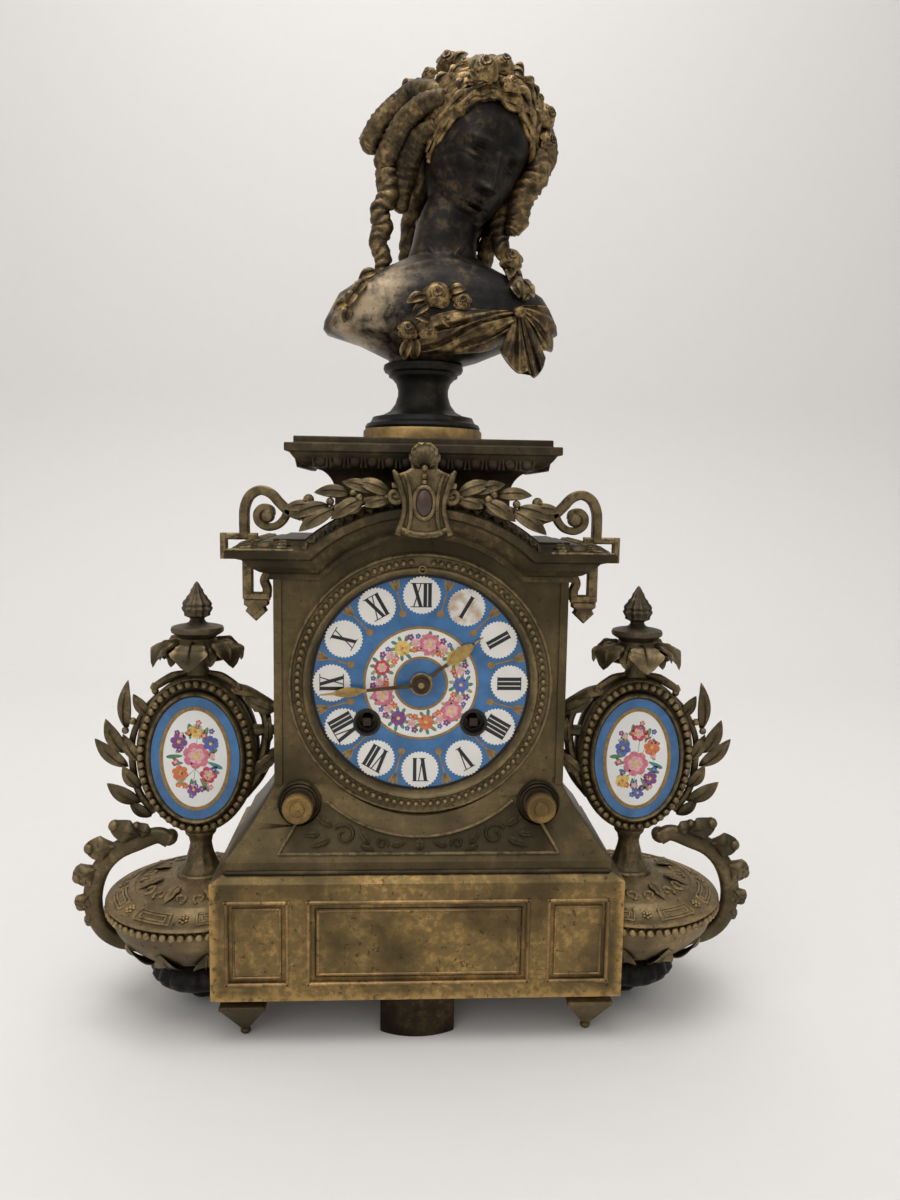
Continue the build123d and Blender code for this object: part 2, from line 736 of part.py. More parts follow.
# Tie rod with its nut inside the case
rod_low = arch_z + arch_radius - case_wall - nut_height - 2.0
rod_top = bust_bottom + rod_reach
tie = Pos(0, bust_y, (rod_low + rod_top) / 2) * Cylinder(rod_radius, rod_top - rod_low)
nut_z = arch_z + math.sqrt((arch_radius - case_wall) ** 2 - nut_radius ** 2) - fit
nut_face = RegularPolygon(nut_radius, 6) - Circle(rod_radius + run_gap)
nut = Pos(0, bust_y, nut_z - nut_height) * extrude(nut_face, amount=nut_height)
save(Compound([tie, nut]), "bust_rod")

# Urn foot, bowl and stem for the right side
side_face = Pos(0, 0, 100) * Box(base_width, 2 * base_depth, 400)
under_base = Pos(0, 0, foot_height + base_height / 2) * Box(base_width, 2 * base_depth, base_height)
ball_mid = math.sqrt(ball_radius ** 2 - ball_flat ** 2)
ball_run = []
for i in range(7):
    a = -math.pi / 2 + math.asin(ball_flat / ball_radius) + i * 0.26
    ball_run.append((ball_radius * math.cos(a), ball_mid + ball_radius * math.sin(a)))
bun_low = ball_run[-1][1]
bun_mid = (bun_low + bun_top) / 2
foot = turned([
    [(0, 0), ball_run[0]],
    ball_run,
    [ball_run[-1], (bun_radius * 0.7, bun_low)],
    [(bun_radius * 0.7, bun_low), (bun_radius * 0.96, bun_mid - bun_swell), (bun_radius, bun_mid),
     (bun_radius * 0.96, bun_mid + bun_swell), (bun_radius * 0.75, bun_top)],
    [(bun_radius * 0.75, bun_top), (0, bun_top)],
    [(0, bun_top), (0, 0)],
], urn_x, urn_y) - under_base
rim_top = rim_z + rim_height
dome_foot = rim_top + 3.4
bowl = turned([
    [(0, bun_top), (bun_radius * 0.78, bun_top)],
    [(bun_radius * 0.78, bun_top), (bowl_radius * 0.72, bun_top + 6.5), (bowl_radius * 0.9, rim_z - 7.0),
     (bowl_radius - 1.6, rim_z)],
    [(bowl_radius - 1.6, rim_z), (bowl_radius, rim_z + 1.0)],
    [(bowl_radius, rim_z + 1.0), (bowl_radius, rim_top - 1.0)],
    [(bowl_radius, rim_top - 1.0), (bowl_radius - 2.0, rim_top)],
    [(bowl_radius - 2.0, rim_top), (bowl_radius * 0.72, dome_foot - 0.8)],
    [(bowl_radius * 0.72, dome_foot - 0.8), (bowl_radius * 0.66, dome_foot)],
    [(bowl_radius * 0.66, dome_foot), (bowl_radius * 0.5, dome_top - 1.0), (stem_foot + 1.5, dome_top)],
    [(stem_foot + 1.5, dome_top), (0, dome_top)],
    [(0, dome_top), (0, bun_top)],
], urn_x, urn_y) - side_face
peg_top = stem_top + peg_rise
stem = turned([
    [(0, dome_top), (stem_foot, dome_top)],
    [(stem_foot, dome_top), (stem_foot, dome_top + 2.0)],
    [(stem_foot, dome_top + 2.0), (stem_foot * 0.62, dome_top + 4.6), (stem_waist, dome_top + 9.5),
     (stem_peg, stem_top - 2.5)],
    [(stem_peg, stem_top - 2.5), (stem_peg, peg_top)],
    [(stem_peg, peg_top), (0, peg_top)],
    [(0, peg_top), (0, dome_top)],
], urn_x, urn_y)


# Pointed leaf lying in the front plane
def leaf(root, tip, width, y0, y1):
    mx = (root[0] + tip[0]) / 2
    mz = (root[1] + tip[1]) / 2
    length = math.dist(root, tip)
    nx = -(tip[1] - root[1]) / length * width / 2
    nz = (tip[0] - root[0]) / length * width / 2
    face = make_face([
        ThreePointArc(root, (mx + nx, mz + nz), tip),
        ThreePointArc(tip, (mx - nx, mz - nz), root),
    ])
    return prism(face, y0, y1)


# Medallion body with its leaf spray, and the porcelain plaque
medallion_at = Pos(urn_x, medallion_z)
plaque_at = Pos(urn_x, medallion_z - plaque_drop)
medallion_back = medallion_front + medallion_depth
medallion = prism(medallion_at * Ellipse(medallion_half, medallion_tall), medallion_front, medallion_back)
medallion = chamfer(medallion.edges(), medallion_edge)
bead_ring = Ellipse(bead_half + bead_band, bead_tall + bead_band)
bead_ring -= Ellipse(bead_half - bead_band, bead_tall - bead_band)
medallion += prism(medallion_at * bead_ring, medallion_front - bead_band, medallion_front + bead_band)
plaque_front = medallion_front + plaque_sink
seat_back = plaque_front + plaque_thickness
seat = plaque_at * Ellipse(plaque_half + fit, plaque_tall + fit)
medallion -= prism(seat, medallion_front - medallion_depth, seat_back)
spray_x = urn_x + medallion_half * 0.75
spray_tips = [(0.83, 0.95), (1.14, 0.45), (1.30, 0.16), (1.14, -0.38)]
for i, (dx, dz) in enumerate(spray_tips):
    lift = urn_y - 6 + i * 0.8
    root = (spray_x, medallion_z + dz * 0.35 * medallion_tall)
    tip = (urn_x + dx * medallion_tall, medallion_z + dz * medallion_tall)
    medallion += leaf(root, tip, spray_leaf_width, lift, lift + leaf_thickness + 1)
medallion -= Pos(urn_x, urn_y, stem_top) * Cylinder(stem_peg + fit, 2 * (peg_rise + fit))
plaque = prism(plaque_at * Ellipse(plaque_half, plaque_tall), plaque_front, seat_back)

# Leaf canopy and pine cone finial
canopy_top = canopy_z + canopy_height
canopy_edge = canopy_z + canopy_seat
canopy = turned([
    [(0, canopy_z), (canopy_neck, canopy_z)],
    [(canopy_neck, canopy_z), (canopy_neck, canopy_edge - 0.6)],
    [(canopy_neck, canopy_edge - 0.6), (canopy_radius - 3.0, canopy_edge - 1.2)],
    [(canopy_radius - 3.0, canopy_edge - 1.2), (canopy_radius, canopy_edge)],
    [(canopy_radius, canopy_edge), (canopy_radius - 1.5, canopy_edge + 3.2),
     (canopy_radius * 0.65, canopy_top - 2.4), (disc_radius * 0.7, canopy_top)],
    [(disc_radius * 0.7, canopy_top), (0, canopy_top)],
    [(0, canopy_top), (0, canopy_z)],
], urn_x, urn_y)
canopy -= medallion
tip_z = canopy_top + finial_height
finial = turned([
    [(0, canopy_top), (disc_radius * 0.7, canopy_top)],
    [(disc_radius * 0.7, canopy_top), (disc_radius, canopy_top + 2.6)],
    [(disc_radius, canopy_top + 2.6), (disc_radius, canopy_top + 5.0)],
    [(disc_radius, canopy_top + 5.0), (cone_radius * 0.55, canopy_top + 6.6)],
    [(cone_radius * 0.55, canopy_top + 6.6), (cone_radius * 0.5, canopy_top + 8.0)],
    [(cone_radius * 0.5, canopy_top + 8.0), (cone_radius, canopy_top + 12.5),
     (cone_radius * 0.75, canopy_top + 17.0), (1.0, tip_z)],
    [(1.0, tip_z), (0, tip_z)],
    [(0, tip_z), (0, canopy_top)],
], urn_x, urn_y)

# Scroll arm with four leaves
arm_high = medallion_z - medallion_tall - 0.6
arm_low = rim_z - 14.0
arm_reach = (bowl_radius + 2.8) / 40.3


def arm_at(dx, part):
    return (urn_x + dx * arm_reach, arm_low + part * (arm_high - arm_low))


arm_points = [
    (11.5, 1.0), (22.0, 0.976), (30.5, 0.893), (37.0, 0.726),
    (40.3, 0.5), (39.8, 0.286), (35.5, 0.095), (27.5, 0.0),
]
arm_route = [arm_at(*q) for q in arm_points]
arm_path = Spline(*[(x, arm_y, z) for x, z in arm_route])
arm = sweep(Plane(arm_path @ 0, z_dir=arm_path % 0) * Circle(arm_thickness), path=arm_path)
arm_leaves = [
    ((28.0, 0.905), (37.5, 1.095)), ((35.0, 0.762), (48.0, 0.762)),
    ((38.5, 0.524), (49.5, 0.452)), ((37.0, 0.310), (46.5, 0.214)),
]
leaf_front = arm_y - leaf_thickness / 2
for root, tip in arm_leaves:
    arm += leaf(arm_at(*root), arm_at(*tip), arm_leaf_width, leaf_front, leaf_front + leaf_thickness)
arm += rod(*arm_route[-1], arm_knob, arm_y - 4, arm_y + 4)
arm += rod(*arm_route[0], arm_knob, arm_y - 4, arm_y + 6)
arm -= medallion
arm -= bowl
arm -= stem

# Strap between the medallion and the case side
strap_half = case_width / 2
strap_end = urn_x - medallion_half / 2
span = strap_end - strap_half
strap_bend = strap_half + 0.28 * span
strap = prism(outline([
    (strap_half, medallion_z - 4), (strap_half, medallion_z + 22),
    (strap_half + 0.33 * span, medallion_z + 20), (strap_end, medallion_z + 26),
    (strap_end, medallion_z - 6), (strap_bend, medallion_z + 1),
]), urn_y - strap_depth / 2, urn_y + strap_depth / 2)
strap -= rod(strap_bend, medallion_z + 11, 0.19 * span, urn_y - strap_depth, urn_y + strap_depth)
strap -= medallion

pairs = [("urn_foot", foot), ("urn_bowl", bowl), ("urn_arm", arm)]
pairs += [("medallion", medallion), ("plaque", plaque)]
for name, shape in pairs:
    save(shape, name + "_right")
    save(mirrored(shape), name + "_left")
groups = [("urn_stems", stem), ("finial_canopies", canopy), ("finials", finial), ("side_straps", strap)]
for name, shape in groups:
    save(Compound([mirrored(shape), shape]), name)

# Fretwork scroll brackets beside the cornice
edge_x = half_c + cornice_out
loop_z = soffit_z + 28.5
fret = Pos(edge_x - 9.5, loop_z) * (Circle(6.0) - Circle(6.0 - bracket_bar + 1.2))
fret += Pos(edge_x - 9.0, loop_z - 5.3) * (Circle(11.4) - Circle(11.4 - bracket_bar))
fret += Pos(edge_x - 0.5, loop_z - 9.0) * Rectangle(bracket_bar, 12)
fret += Pos(edge_x - 9.5, loop_z - 11) * Rectangle(16, 6)
fret += Pos(edge_x + 2.8, soffit_z + 12) * Rectangle(5.6, 12)
fret += Pos(edge_x + 0.6, loop_z - 11.5) * Rectangle(10, 3.0)
fret += Pos(edge_x - 0.4, soffit_z + 5.5) * Rectangle(12, 3.0)
fret += Pos(edge_x - 5.3, soffit_z - 2) * Rectangle(bracket_bar, 18)
fret += Pos(edge_x - 5.3, soffit_z - 11.5) * Rotation(0, 0, 45) * Rectangle(6.0, 6.0)
fret += Pos(strap_half + 5.0, soffit_z - 4) * Rectangle(10.0, 3.0)
bracket = prism(fret, bracket_y, bracket_y + bracket_thickness) - cornice
pieces = [s for s in bracket.solids() if s.volume > 60]
bracket = Compound(pieces) if len(pieces) > 1 else pieces[0]
save(Compound([mirrored(bracket), bracket]), "scroll_brackets")

# Cartouche and laurel sprays on the arch
cornice_face = case_front - cornice_forward
edge_top = arch_z + arch_radius + cornice_edge
shield = make_face([Spline(
    (0, edge_top - 10.2), (6.0, edge_top - 6.5), (10.2, edge_top + 3.0), (9.4, edge_top + 12.0),
    (5.6, edge_top + 16.5), (6.2, edge_top + 21.0), (0, edge_top + 24.0), (-6.2, edge_top + 21.0),
    (-5.6, edge_top + 16.5), (-9.4, edge_top + 12.0), (-10.2, edge_top + 3.0), (-6.0, edge_top - 6.5),
    (0, edge_top - 10.2),
)])
cartouche_front = cornice_face - cartouche_thickness
cartouche = prism(shield, cartouche_front + 0.6, cornice_face)
cartouche += prism(Pos(0, edge_top + 2.0) * Ellipse(3.2, 5.2), cartouche_front, cornice_face - 1)
cartouche += prism(Pos(0, edge_top + 10) * Rectangle(9, 12), cornice_face - 1, cornice_face + 5)
cartouche -= plinth
cartouche -= cornice
save(cartouche, "cartouche")
laurel_stations = []
for i in range(laurel_steps + 1):
    part = i / laurel_steps
    angle = math.radians(laurel_from + part * (laurel_to - laurel_from))
    clump = 1.0 + 0.12 * math.cos(math.pi * i)
    size = laurel_thick * (1.0 - 0.5 * part) * clump
    ring = []
    for k in range(laurel_sides):
        turn = 2 * math.pi * k / laurel_sides
        r = laurel_radius + size * math.sin(turn)
        y = laurel_y + size * math.cos(turn)
        ring.append(Vector(r * math.sin(angle), y, arch_z + r * math.cos(angle)))
    laurel_stations.append(Wire.make_polygon(ring, close=True))
laurel = Solid.make_loft(laurel_stations, ruled=True) - cornice - plinth - cartouche
laurel = max(laurel.solids(), key=lambda s: s.volume)
save(Compound([mirrored(laurel), laurel]), "laurels")

# Bezel with bead ring
tube_in = bezel_tube - bezel_tube_wall
ring = make_face(Polyline(
    (bezel_radius, 0), (bezel_radius, bezel_flange), (bezel_bead_circle + 1.8, bezel_flange + 0.6),
    (bezel_bead_circle - 1.8, bezel_flange + 0.6), (bezel_lip, -dial_sink + 1.0), (bezel_lip, -dial_sink),
    (tube_in, -dial_sink), (tube_in, -bezel_tube_depth), (bezel_tube, -bezel_tube_depth), (bezel_tube, 0),
    close=True,
))
bezel = revolve(Plane.XZ * ring, axis=Axis.Z)
bezel += Pos(0, 0, bezel_flange + 0.6) * Torus(bezel_bead_circle, bezel_bead)
bezel = Plane((0, case_front, dial_z), x_dir=(1, 0, 0), z_dir=(0, -1, 0)) * bezel
regulator_z = dial_z + regulator_rise
bezel -= rod(0, regulator_z, regulator_radius + 0.3, case_front - 20, dial_front + 1)
save(bezel, "dial_bezel")

# Dial, eyelets and dial pan
arbors = [(-winding_x, dial_z - winding_drop), (winding_x, dial_z - winding_drop)]
centre_hole = rod(0, dial_z, hour_pipe + dial_bore_gap, dial_front - 1, pan_back + 1)
dial = rod(0, dial_z, dial_radius, dial_front, dial_back) - centre_hole
pan = rod(0, dial_z, tube_in - fit, dial_back, pan_back) - centre_hole
eyelets = []
for x, z in arbors:
    dial -= rod(x, z, eyelet_tube + run_gap, dial_front - 1, dial_back + 1)
    pan -= rod(x, z, winding_radius + 0.8, dial_back - 1, pan_back + 1)
    eyelet = rod(x, z, eyelet_flange, dial_front - eyelet_rim, dial_front)
    eyelet += rod(x, z, eyelet_tube, dial_front, dial_back)
    eyelets.append(eyelet - rod(x, z, eyelet_bore, dial_front - 5, dial_back + 1))
pan -= rod(0, regulator_z, regulator_radius + run_gap, dial_back - 1, pan_back + 1)
for degrees in (28, 152, 270):
    a = math.radians(degrees)
    post = (post_circle * math.cos(a), dial_z + post_circle * math.sin(a))
    pan += rod(*post, post_radius, pan_back, plate_front)
save(dial, "dial")
save(pan, "dial_pan")
save(Compound(eyelets), "winding_eyelets")

# Arbor places
centre = (0.0, dial_z)
going = arbors[1]
second_reach = (second_teeth + centre_pinion) * second_module / 2
barrel_reach = (barrel_teeth + second_pinion) * barrel_module / 2
second = between(centre, second_reach, going, barrel_reach, 1)
third_reach = (centre_teeth + third_pinion) * centre_module / 2
third_way = math.radians(115)
third = (third_reach * math.cos(third_way), dial_z + third_reach * math.sin(third_way))
escape_reach = (third_teeth + escape_pinion + 2 * 1.4) * third_module / 2 + fit
escape = (0.0, third[1] + math.sqrt(escape_reach ** 2 - third[0] ** 2))
anchor_at = (0.0, escape[1] + anchor_rise)
cannon_reach = (cannon_teeth + minute_teeth) * cannon_module / 2
hour_module = 2 * cannon_reach / (hour_teeth + minute_pinion)
minute_way = math.radians(-60)
minute_at = (cannon_reach * math.cos(minute_way), dial_z + cannon_reach * math.sin(minute_way))
hammer_at = (hammer_x, dial_z + hammer_rise)

# Axial layers, measured from the inside of the front plate
great_y = space_front + 1.4
drum_y = great_y + wheel_thickness + 0.6
drum_end = drum_y + barrel_height
second_y = drum_end + 1.4
centre_y = second_y + 2.6
third_y = space_front + 11.0
escape_y = third_y + 4.6
anchor_y = escape_y

# Plates and pillars
front_plate = rod(0, dial_z, plate_radius, plate_front, space_front)
back_plate = rod(0, dial_z, plate_radius, space_back, plate_back)
pivots = [(p, arbor_radius) for p in (centre, second, anchor_at, hammer_at)]
pivots += [(p, fine_arbor) for p in (third, escape)]
pivots += [(p, winding_radius) for p in arbors]
for (x, z), radius in pivots:
    front_plate -= rod(x, z, radius + run_gap, plate_front - 1, space_front + 1)
    back_plate -= rod(x, z, radius + run_gap, space_back - 1, plate_back + 1)
front_plate += rod(minute_at[0], minute_at[1], stud_radius, pan_back + 0.4, plate_front)
pillars = []
for degrees in (20, 160, 62, 118, 270):
    a = math.radians(degrees)
    pillars.append(rod(pillar_circle * math.cos(a), dial_z + pillar_circle * math.sin(a), pillar_radius,
                       space_front, space_back))
save(front_plate, "front_plate")
save(back_plate, "back_plate")
save(Compound(pillars), "plate_pillars")

# Barrels and winding arbors
to_second = heading(going, second)
for name, (x, z) in (("strike", arbors[0]), ("going", arbors[1])):
    angle = to_second if name == "going" else math.pi - to_second
    barrel = toothed(x, z, barrel_teeth, barrel_module, great_y, drum_y, angle, gap=True)
    barrel += rod(x, z, barrel_radius, drum_y, drum_end)
    barrel -= rod(x, z, winding_radius + run_gap, great_y - 1, drum_end + 1)
    save(barrel, name + "_barrel")
    arbor = rod(x, z, winding_radius, plate_front - 0.6, plate_back)
    square_front = dial_front + 0.5
    square_mid = (square_front + plate_front) / 2
    arbor += Pos(x, square_mid, z) * Box(winding_square, plate_front - square_front, winding_square)
    save(arbor, name + "_arbor")

# Second wheel between barrel and centre
second_wheel = toothed(*second, second_teeth, second_module, second_y, second_y + wheel_thickness,
                       heading(second, centre), gap=True)
second_wheel += toothed(*second, second_pinion, barrel_module, great_y - 0.4, drum_y + 0.2,
                        heading(second, going))
second_wheel += rod(*second, arbor_radius, plate_front, plate_back)
save(second_wheel, "second_wheel")

# Centre wheel and cannon pinion
centre_wheel = toothed(*centre, centre_teeth, centre_module, centre_y, centre_y + wheel_thickness,
                       heading(centre, third), gap=True)
centre_wheel += toothed(*centre, centre_pinion, second_module, second_y - 0.4, centre_y,
                        heading(centre, second))
nut_front = dial_front - eyelet_rim - 4.4
centre_wheel += rod(*centre, arbor_radius, nut_front + 0.4, plate_back)
save(centre_wheel, "centre_wheel")
hour_back = dial_front - eyelet_rim - 0.6
hour_front = hour_back - hand_thickness
minute_back = hour_front - 0.6
minute_front = minute_back - hand_thickness
leaf_low = plate_front - 2.8
cannon = rod(*centre, pipe_radius, minute_front, plate_front - 0.3)
cannon += toothed(*centre, cannon_teeth, cannon_module, leaf_low, plate_front - 0.8,
                  heading(centre, minute_at))
cannon -= rod(*centre, arbor_radius + run_gap, minute_front - 1, plate_front + 1)
save(cannon, "cannon_pinion")

# Minute wheel with its pinion, and hour wheel with its pipe
hour_wheel_y = pan_back + 1.0
minute_wheel = toothed(*minute_at, minute_teeth, cannon_module, leaf_low + 0.4, plate_front - 1.2,
                       heading(minute_at, centre), gap=True)
minute_wheel += toothed(*minute_at, minute_pinion, hour_module, pan_back + 0.6, leaf_low + 0.4,
                        heading(minute_at, centre))
minute_wheel -= rod(*minute_at, stud_radius + run_gap, pan_back - 1, plate_front + 1)
save(minute_wheel, "minute_wheel")
hour_wheel = toothed(*centre, hour_teeth, hour_module, hour_wheel_y, hour_wheel_y + wheel_thickness,
                     heading(centre, minute_at), gap=True)
hour_wheel += rod(*centre, hour_pipe, hour_front, hour_wheel_y + 0.2)
hour_wheel -= rod(*centre, pipe_radius + run_gap, hour_front - 1, hour_wheel_y + 5)
save(hour_wheel, "hour_wheel")

# Third wheel, escape wheel and anchor
third_wheel = toothed(*third, third_teeth, third_module, third_y, third_y + wheel_thickness, 0.0)
third_wheel += toothed(*third, third_pinion, centre_module, centre_y - 0.4, centre_y + wheel_thickness + 0.4,
                       heading(third, centre))
third_wheel += rod(*third, fine_arbor, plate_front, plate_back)
save(third_wheel, "third_wheel")
teeth = []
for i in range(escape_teeth):
    a = 2 * math.pi * i / escape_teeth
    teeth.append((escape[0] + escape_radius * math.cos(a), escape[1] + escape_radius * math.sin(a)))
    b = a + math.pi / escape_teeth
    low = escape_radius - escape_notch
    teeth.append((escape[0] + low * math.cos(b), escape[1] + low * math.sin(b)))
escape_wheel = prism(outline(teeth), escape_y, escape_y + 1.0)
escape_wheel += toothed(*escape, escape_pinion, third_module, third_y - 0.4, escape_y, 0.0)
escape_wheel += rod(*escape, fine_arbor, plate_front, plate_back)
save(escape_wheel, "escape_wheel")
ax, az = anchor_at
anchor = prism(outline([
    (ax, az + 2.2), (ax + 3, az + 1.2), (ax + 8.6, az - 4.6), (ax + 7.6, az - 5.6), (ax + 2.2, az - 1.6),
    (ax, az - 1.8), (ax - 2.2, az - 1.6), (ax - 7.6, az - 5.6), (ax - 8.6, az - 4.6), (ax - 3, az + 1.2),
]), anchor_y, anchor_y + 1.0)
crutch_y = plate_back + 0.6
anchor += rod(ax, az, arbor_radius, plate_front, crutch_y + 1.0)
anchor += Pos(ax, crutch_y + 0.5, az - 13) * Box(2.4, 1.0, 28)
fork_end = pendulum_y + 1.6
fork_mid = (crutch_y + fork_end) / 2
for sx in (-1, 1):
    anchor += Pos(ax + sx * 1.8, fork_mid, az - 26) * Box(1.0, fork_end - crutch_y, 2.0)
anchor += Pos(ax, crutch_y + 0.5, az - 26) * Box(4.6, 1.0, 2.0)
save(anchor, "anchor")

# Suspension cock, pendulum and regulator arbor
cock_end = pendulum_y + 3.0
cock_mid = (plate_back + cock_end) / 2
cock_low = az - 3.0
cock_depth = cock_end - plate_back
cock = Pos(0, cock_mid, (az + 2.5 + regulator_z + 3.0) / 2) * Box(14, cock_depth, regulator_z + 0.5 - az)
for sx in (-1, 1):
    cock += Pos(sx * 5.5, cock_mid, (cock_low + az + 3.0) / 2) * Box(3.0, cock_depth, az + 3.0 - cock_low)
cock -= rod(0, regulator_z, regulator_radius + run_gap, plate_back - 1, cock_end + 1)
save(cock, "suspension_cock")
bob_z = az - pendulum_length
pendulum = Pos(0, pendulum_y, az - 3.0) * Box(3.0, 0.6, 10.0)
pendulum += Pos(0, pendulum_y, (az - 7.0 + bob_z) / 2) * Cylinder(1.0, az - 7.0 - bob_z)
pendulum += rod(0, bob_z, bob_radius, pendulum_y - bob_thickness / 2, pendulum_y + bob_thickness / 2)
pendulum += Pos(0, pendulum_y, bob_z - bob_radius - 1.5) * Cylinder(2.0, 5.0)
save(pendulum, "pendulum")
regulator = rod(0, regulator_z, regulator_radius, case_front - 0.6, cock_end)
save(regulator, "regulator_arbor")

# Bell on its stand, and the hammer
bell_mid = dial_z - bell_drop
bell_in = bell_radius - bell_wall
dish = make_face([
    Line((bell_in, 0), (bell_radius, 0)),
    Line((bell_radius, 0), (bell_radius, -3.0)),
    ThreePointArc((bell_radius, -3.0), (bell_radius - 1.9, -bell_depth + 1.7),
                  (bell_radius - 6.5, -bell_depth)),
    Line((bell_radius - 6.5, -bell_depth), (2.2, -bell_depth)),
    Line((2.2, -bell_depth), (2.2, -bell_depth + bell_wall)),
    Line((2.2, -bell_depth + bell_wall), (bell_radius - 6.5, -bell_depth + bell_wall)),
    ThreePointArc((bell_radius - 6.5, -bell_depth + bell_wall), (bell_in - 1.6, -bell_depth + 2.7),
                  (bell_in, -3.0)),
    Line((bell_in, -3.0), (bell_in, 0)),
])
bell_at = Plane((0, bell_front, bell_mid), x_dir=(1, 0, 0), z_dir=(0, -1, 0))
bell = bell_at * revolve(Plane.XZ * dish, axis=Axis.Z)
save(bell, "bell")
post = (14.0, bell_mid - 12.0)
arm_back = bell_back - bell_wall
stand = rod(*post, 2.2, plate_back, arm_back)
stand += bar(post, (0, bell_mid), 1.8, arm_back - 2.0, arm_back)
stand += rod(0, bell_mid, 3.4, arm_back - 2.0, arm_back)
stand += rod(0, bell_mid, 1.9, arm_back, bell_back + 0.2)
stand += rod(0, bell_mid, 3.6, bell_back, bell_back + 1.8)
save(stand, "bell_stand")
strike_x = -(bell_radius + hammer_gap + hammer_head)
strike_at = (strike_x, bell_mid)
reach_y = plate_back + 1.6
hammer = rod(*hammer_at, arbor_radius, plate_front, reach_y + 1.2)
hammer += bar(hammer_at, strike_at, 1.3, reach_y, reach_y + 1.2)
hammer += rod(*hammer_at, 2.2, reach_y, reach_y + 1.2)
hammer += rod(*strike_at, hammer_head, reach_y, bell_front + 4.0)
save(hammer, "hammer")


# Hands and hand nut at the shown time
def hand(length, blade_from, blade_to, width, hub, bore, y0, y1, clockwise):
    shape = Circle(hub)
    shape += outline([(-0.8, 0), (0.8, 0), (0.55, blade_from + 1), (-0.55, blade_from + 1)])
    mid = (blade_from + blade_to) / 2
    shape += make_face([
        ThreePointArc((0, blade_from), (width / 2, mid), (0, blade_to)),
        ThreePointArc((0, blade_to), (-width / 2, mid), (0, blade_from)),
    ])
    shape += outline([(-0.5, blade_to - 1.5), (0.5, blade_to - 1.5), (0.15, length), (-0.15, length)])
    shape -= Circle(bore)
    turned_shape = Pos(0, dial_z) * Rotation(0, 0, -clockwise) * shape
    return prism(turned_shape, y0, y1)


minute_angle = shown_minutes * 6.0
hour_angle = (shown_hours + shown_minutes / 60) * 30.0
hour_bore = hour_pipe + grip
minute_bore = pipe_radius + grip
hour_blade = (hour_length * 0.44, hour_length * 0.86)
minute_blade = (minute_length * 0.54, minute_length * 0.88)
hour_hand = hand(hour_length, *hour_blade, 4.8, 4.3, hour_bore, hour_front, hour_back, hour_angle)
minute_hand = hand(minute_length, *minute_blade, 3.6, 3.6, minute_bore, minute_front, minute_back,
                   minute_angle)
save(hour_hand, "hour_hand")
save(minute_hand, "minute_hand")
hand_nut = rod(0, dial_z, 2.9, nut_front, minute_front)
hand_nut -= rod(0, dial_z, arbor_radius + grip, nut_front - 1, minute_front + 1)
save(hand_nut, "hand_nut")

# Straps that draw the bezel to the back of the case
straps = []
strap_out = math.sqrt(tube_in ** 2 - 16.0) - fit
back_wall_in = case_back - case_wall
strap_from = pan_back + 1.0
for sx in (-1, 1):
    straps.append(Pos(sx * (strap_out - 0.7), (strap_from + back_wall_in) / 2, dial_z) * Box(
        1.4, back_wall_in - strap_from, 8.0))
save(Compound(straps), "movement_straps")

# Rear ring and door on a side hinge
hinge_y = door_front + door_thickness / 2
rear = rod(0, dial_z, rear_tube, case_back - 3.6, rear_end)
rear += rod(0, dial_z, rear_flange, case_back, case_back + 1.6)
rear -= rod(0, dial_z, rear_tube - rear_tube_wall, case_back - 10, rear_end + 10)
pin_length = 3 * knuckle_height + 2 * fit
lug_y = (case_back + 0.2 + hinge_y) / 2
lug_depth = hinge_y - case_back - 0.2
for sz in (-1, 1):
    lug_z = dial_z + sz * (knuckle_height + fit)
    rear += Pos(hinge_x, hinge_y, lug_z) * Cylinder(knuckle_radius, knuckle_height)
    rear += Pos(hinge_x + 1.0, lug_y, lug_z) * Box(2.0, lug_depth, knuckle_height)
rear += Pos(hinge_x, hinge_y, dial_z) * Cylinder(pin_radius, pin_length)
save(rear, "rear_bezel")
door = rod(0, dial_z, door_radius, door_front, door_front + door_thickness)
door += Pos((hinge_x - door_radius) / 2 + 1.0, hinge_y, dial_z) * Box(
    abs(hinge_x) - door_radius + 2.0, door_thickness, knuckle_height)
door += Pos(hinge_x, hinge_y, dial_z) * Cylinder(knuckle_radius, knuckle_height)
door -= Pos(hinge_x, hinge_y, dial_z) * Cylinder(pin_radius + run_gap, 3 * knuckle_height)
door += rod(door_radius - 8, dial_z, 2.2, door_front + door_thickness, door_front + door_thickness + 3.0)
save(door, "rear_door")
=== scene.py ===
import bpy
import bmesh
import random
from math import atan2, copysign, cos, dist, exp, hypot, log, pi, radians, sin, sqrt, tau
from mathutils import Matrix, Vector


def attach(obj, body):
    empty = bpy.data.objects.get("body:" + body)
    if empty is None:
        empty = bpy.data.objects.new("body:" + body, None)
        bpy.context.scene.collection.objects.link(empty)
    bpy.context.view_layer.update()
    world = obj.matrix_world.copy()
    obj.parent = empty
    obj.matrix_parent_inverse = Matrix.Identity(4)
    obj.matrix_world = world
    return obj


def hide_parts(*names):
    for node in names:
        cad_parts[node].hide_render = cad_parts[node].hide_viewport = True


# Figural mantel clock: gilt castings, porcelain and a dark bust built round the CAD frame
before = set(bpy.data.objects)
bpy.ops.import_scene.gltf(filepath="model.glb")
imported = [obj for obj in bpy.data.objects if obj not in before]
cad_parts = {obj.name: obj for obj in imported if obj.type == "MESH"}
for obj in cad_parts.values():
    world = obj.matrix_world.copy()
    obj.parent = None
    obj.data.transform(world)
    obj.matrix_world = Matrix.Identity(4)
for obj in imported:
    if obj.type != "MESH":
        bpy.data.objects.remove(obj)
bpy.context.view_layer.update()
random.seed(11)
mm = 0.001
# height of the dial's axis in mm
dialAxis = 136.8
print("frame loaded,", len(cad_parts), "nodes")


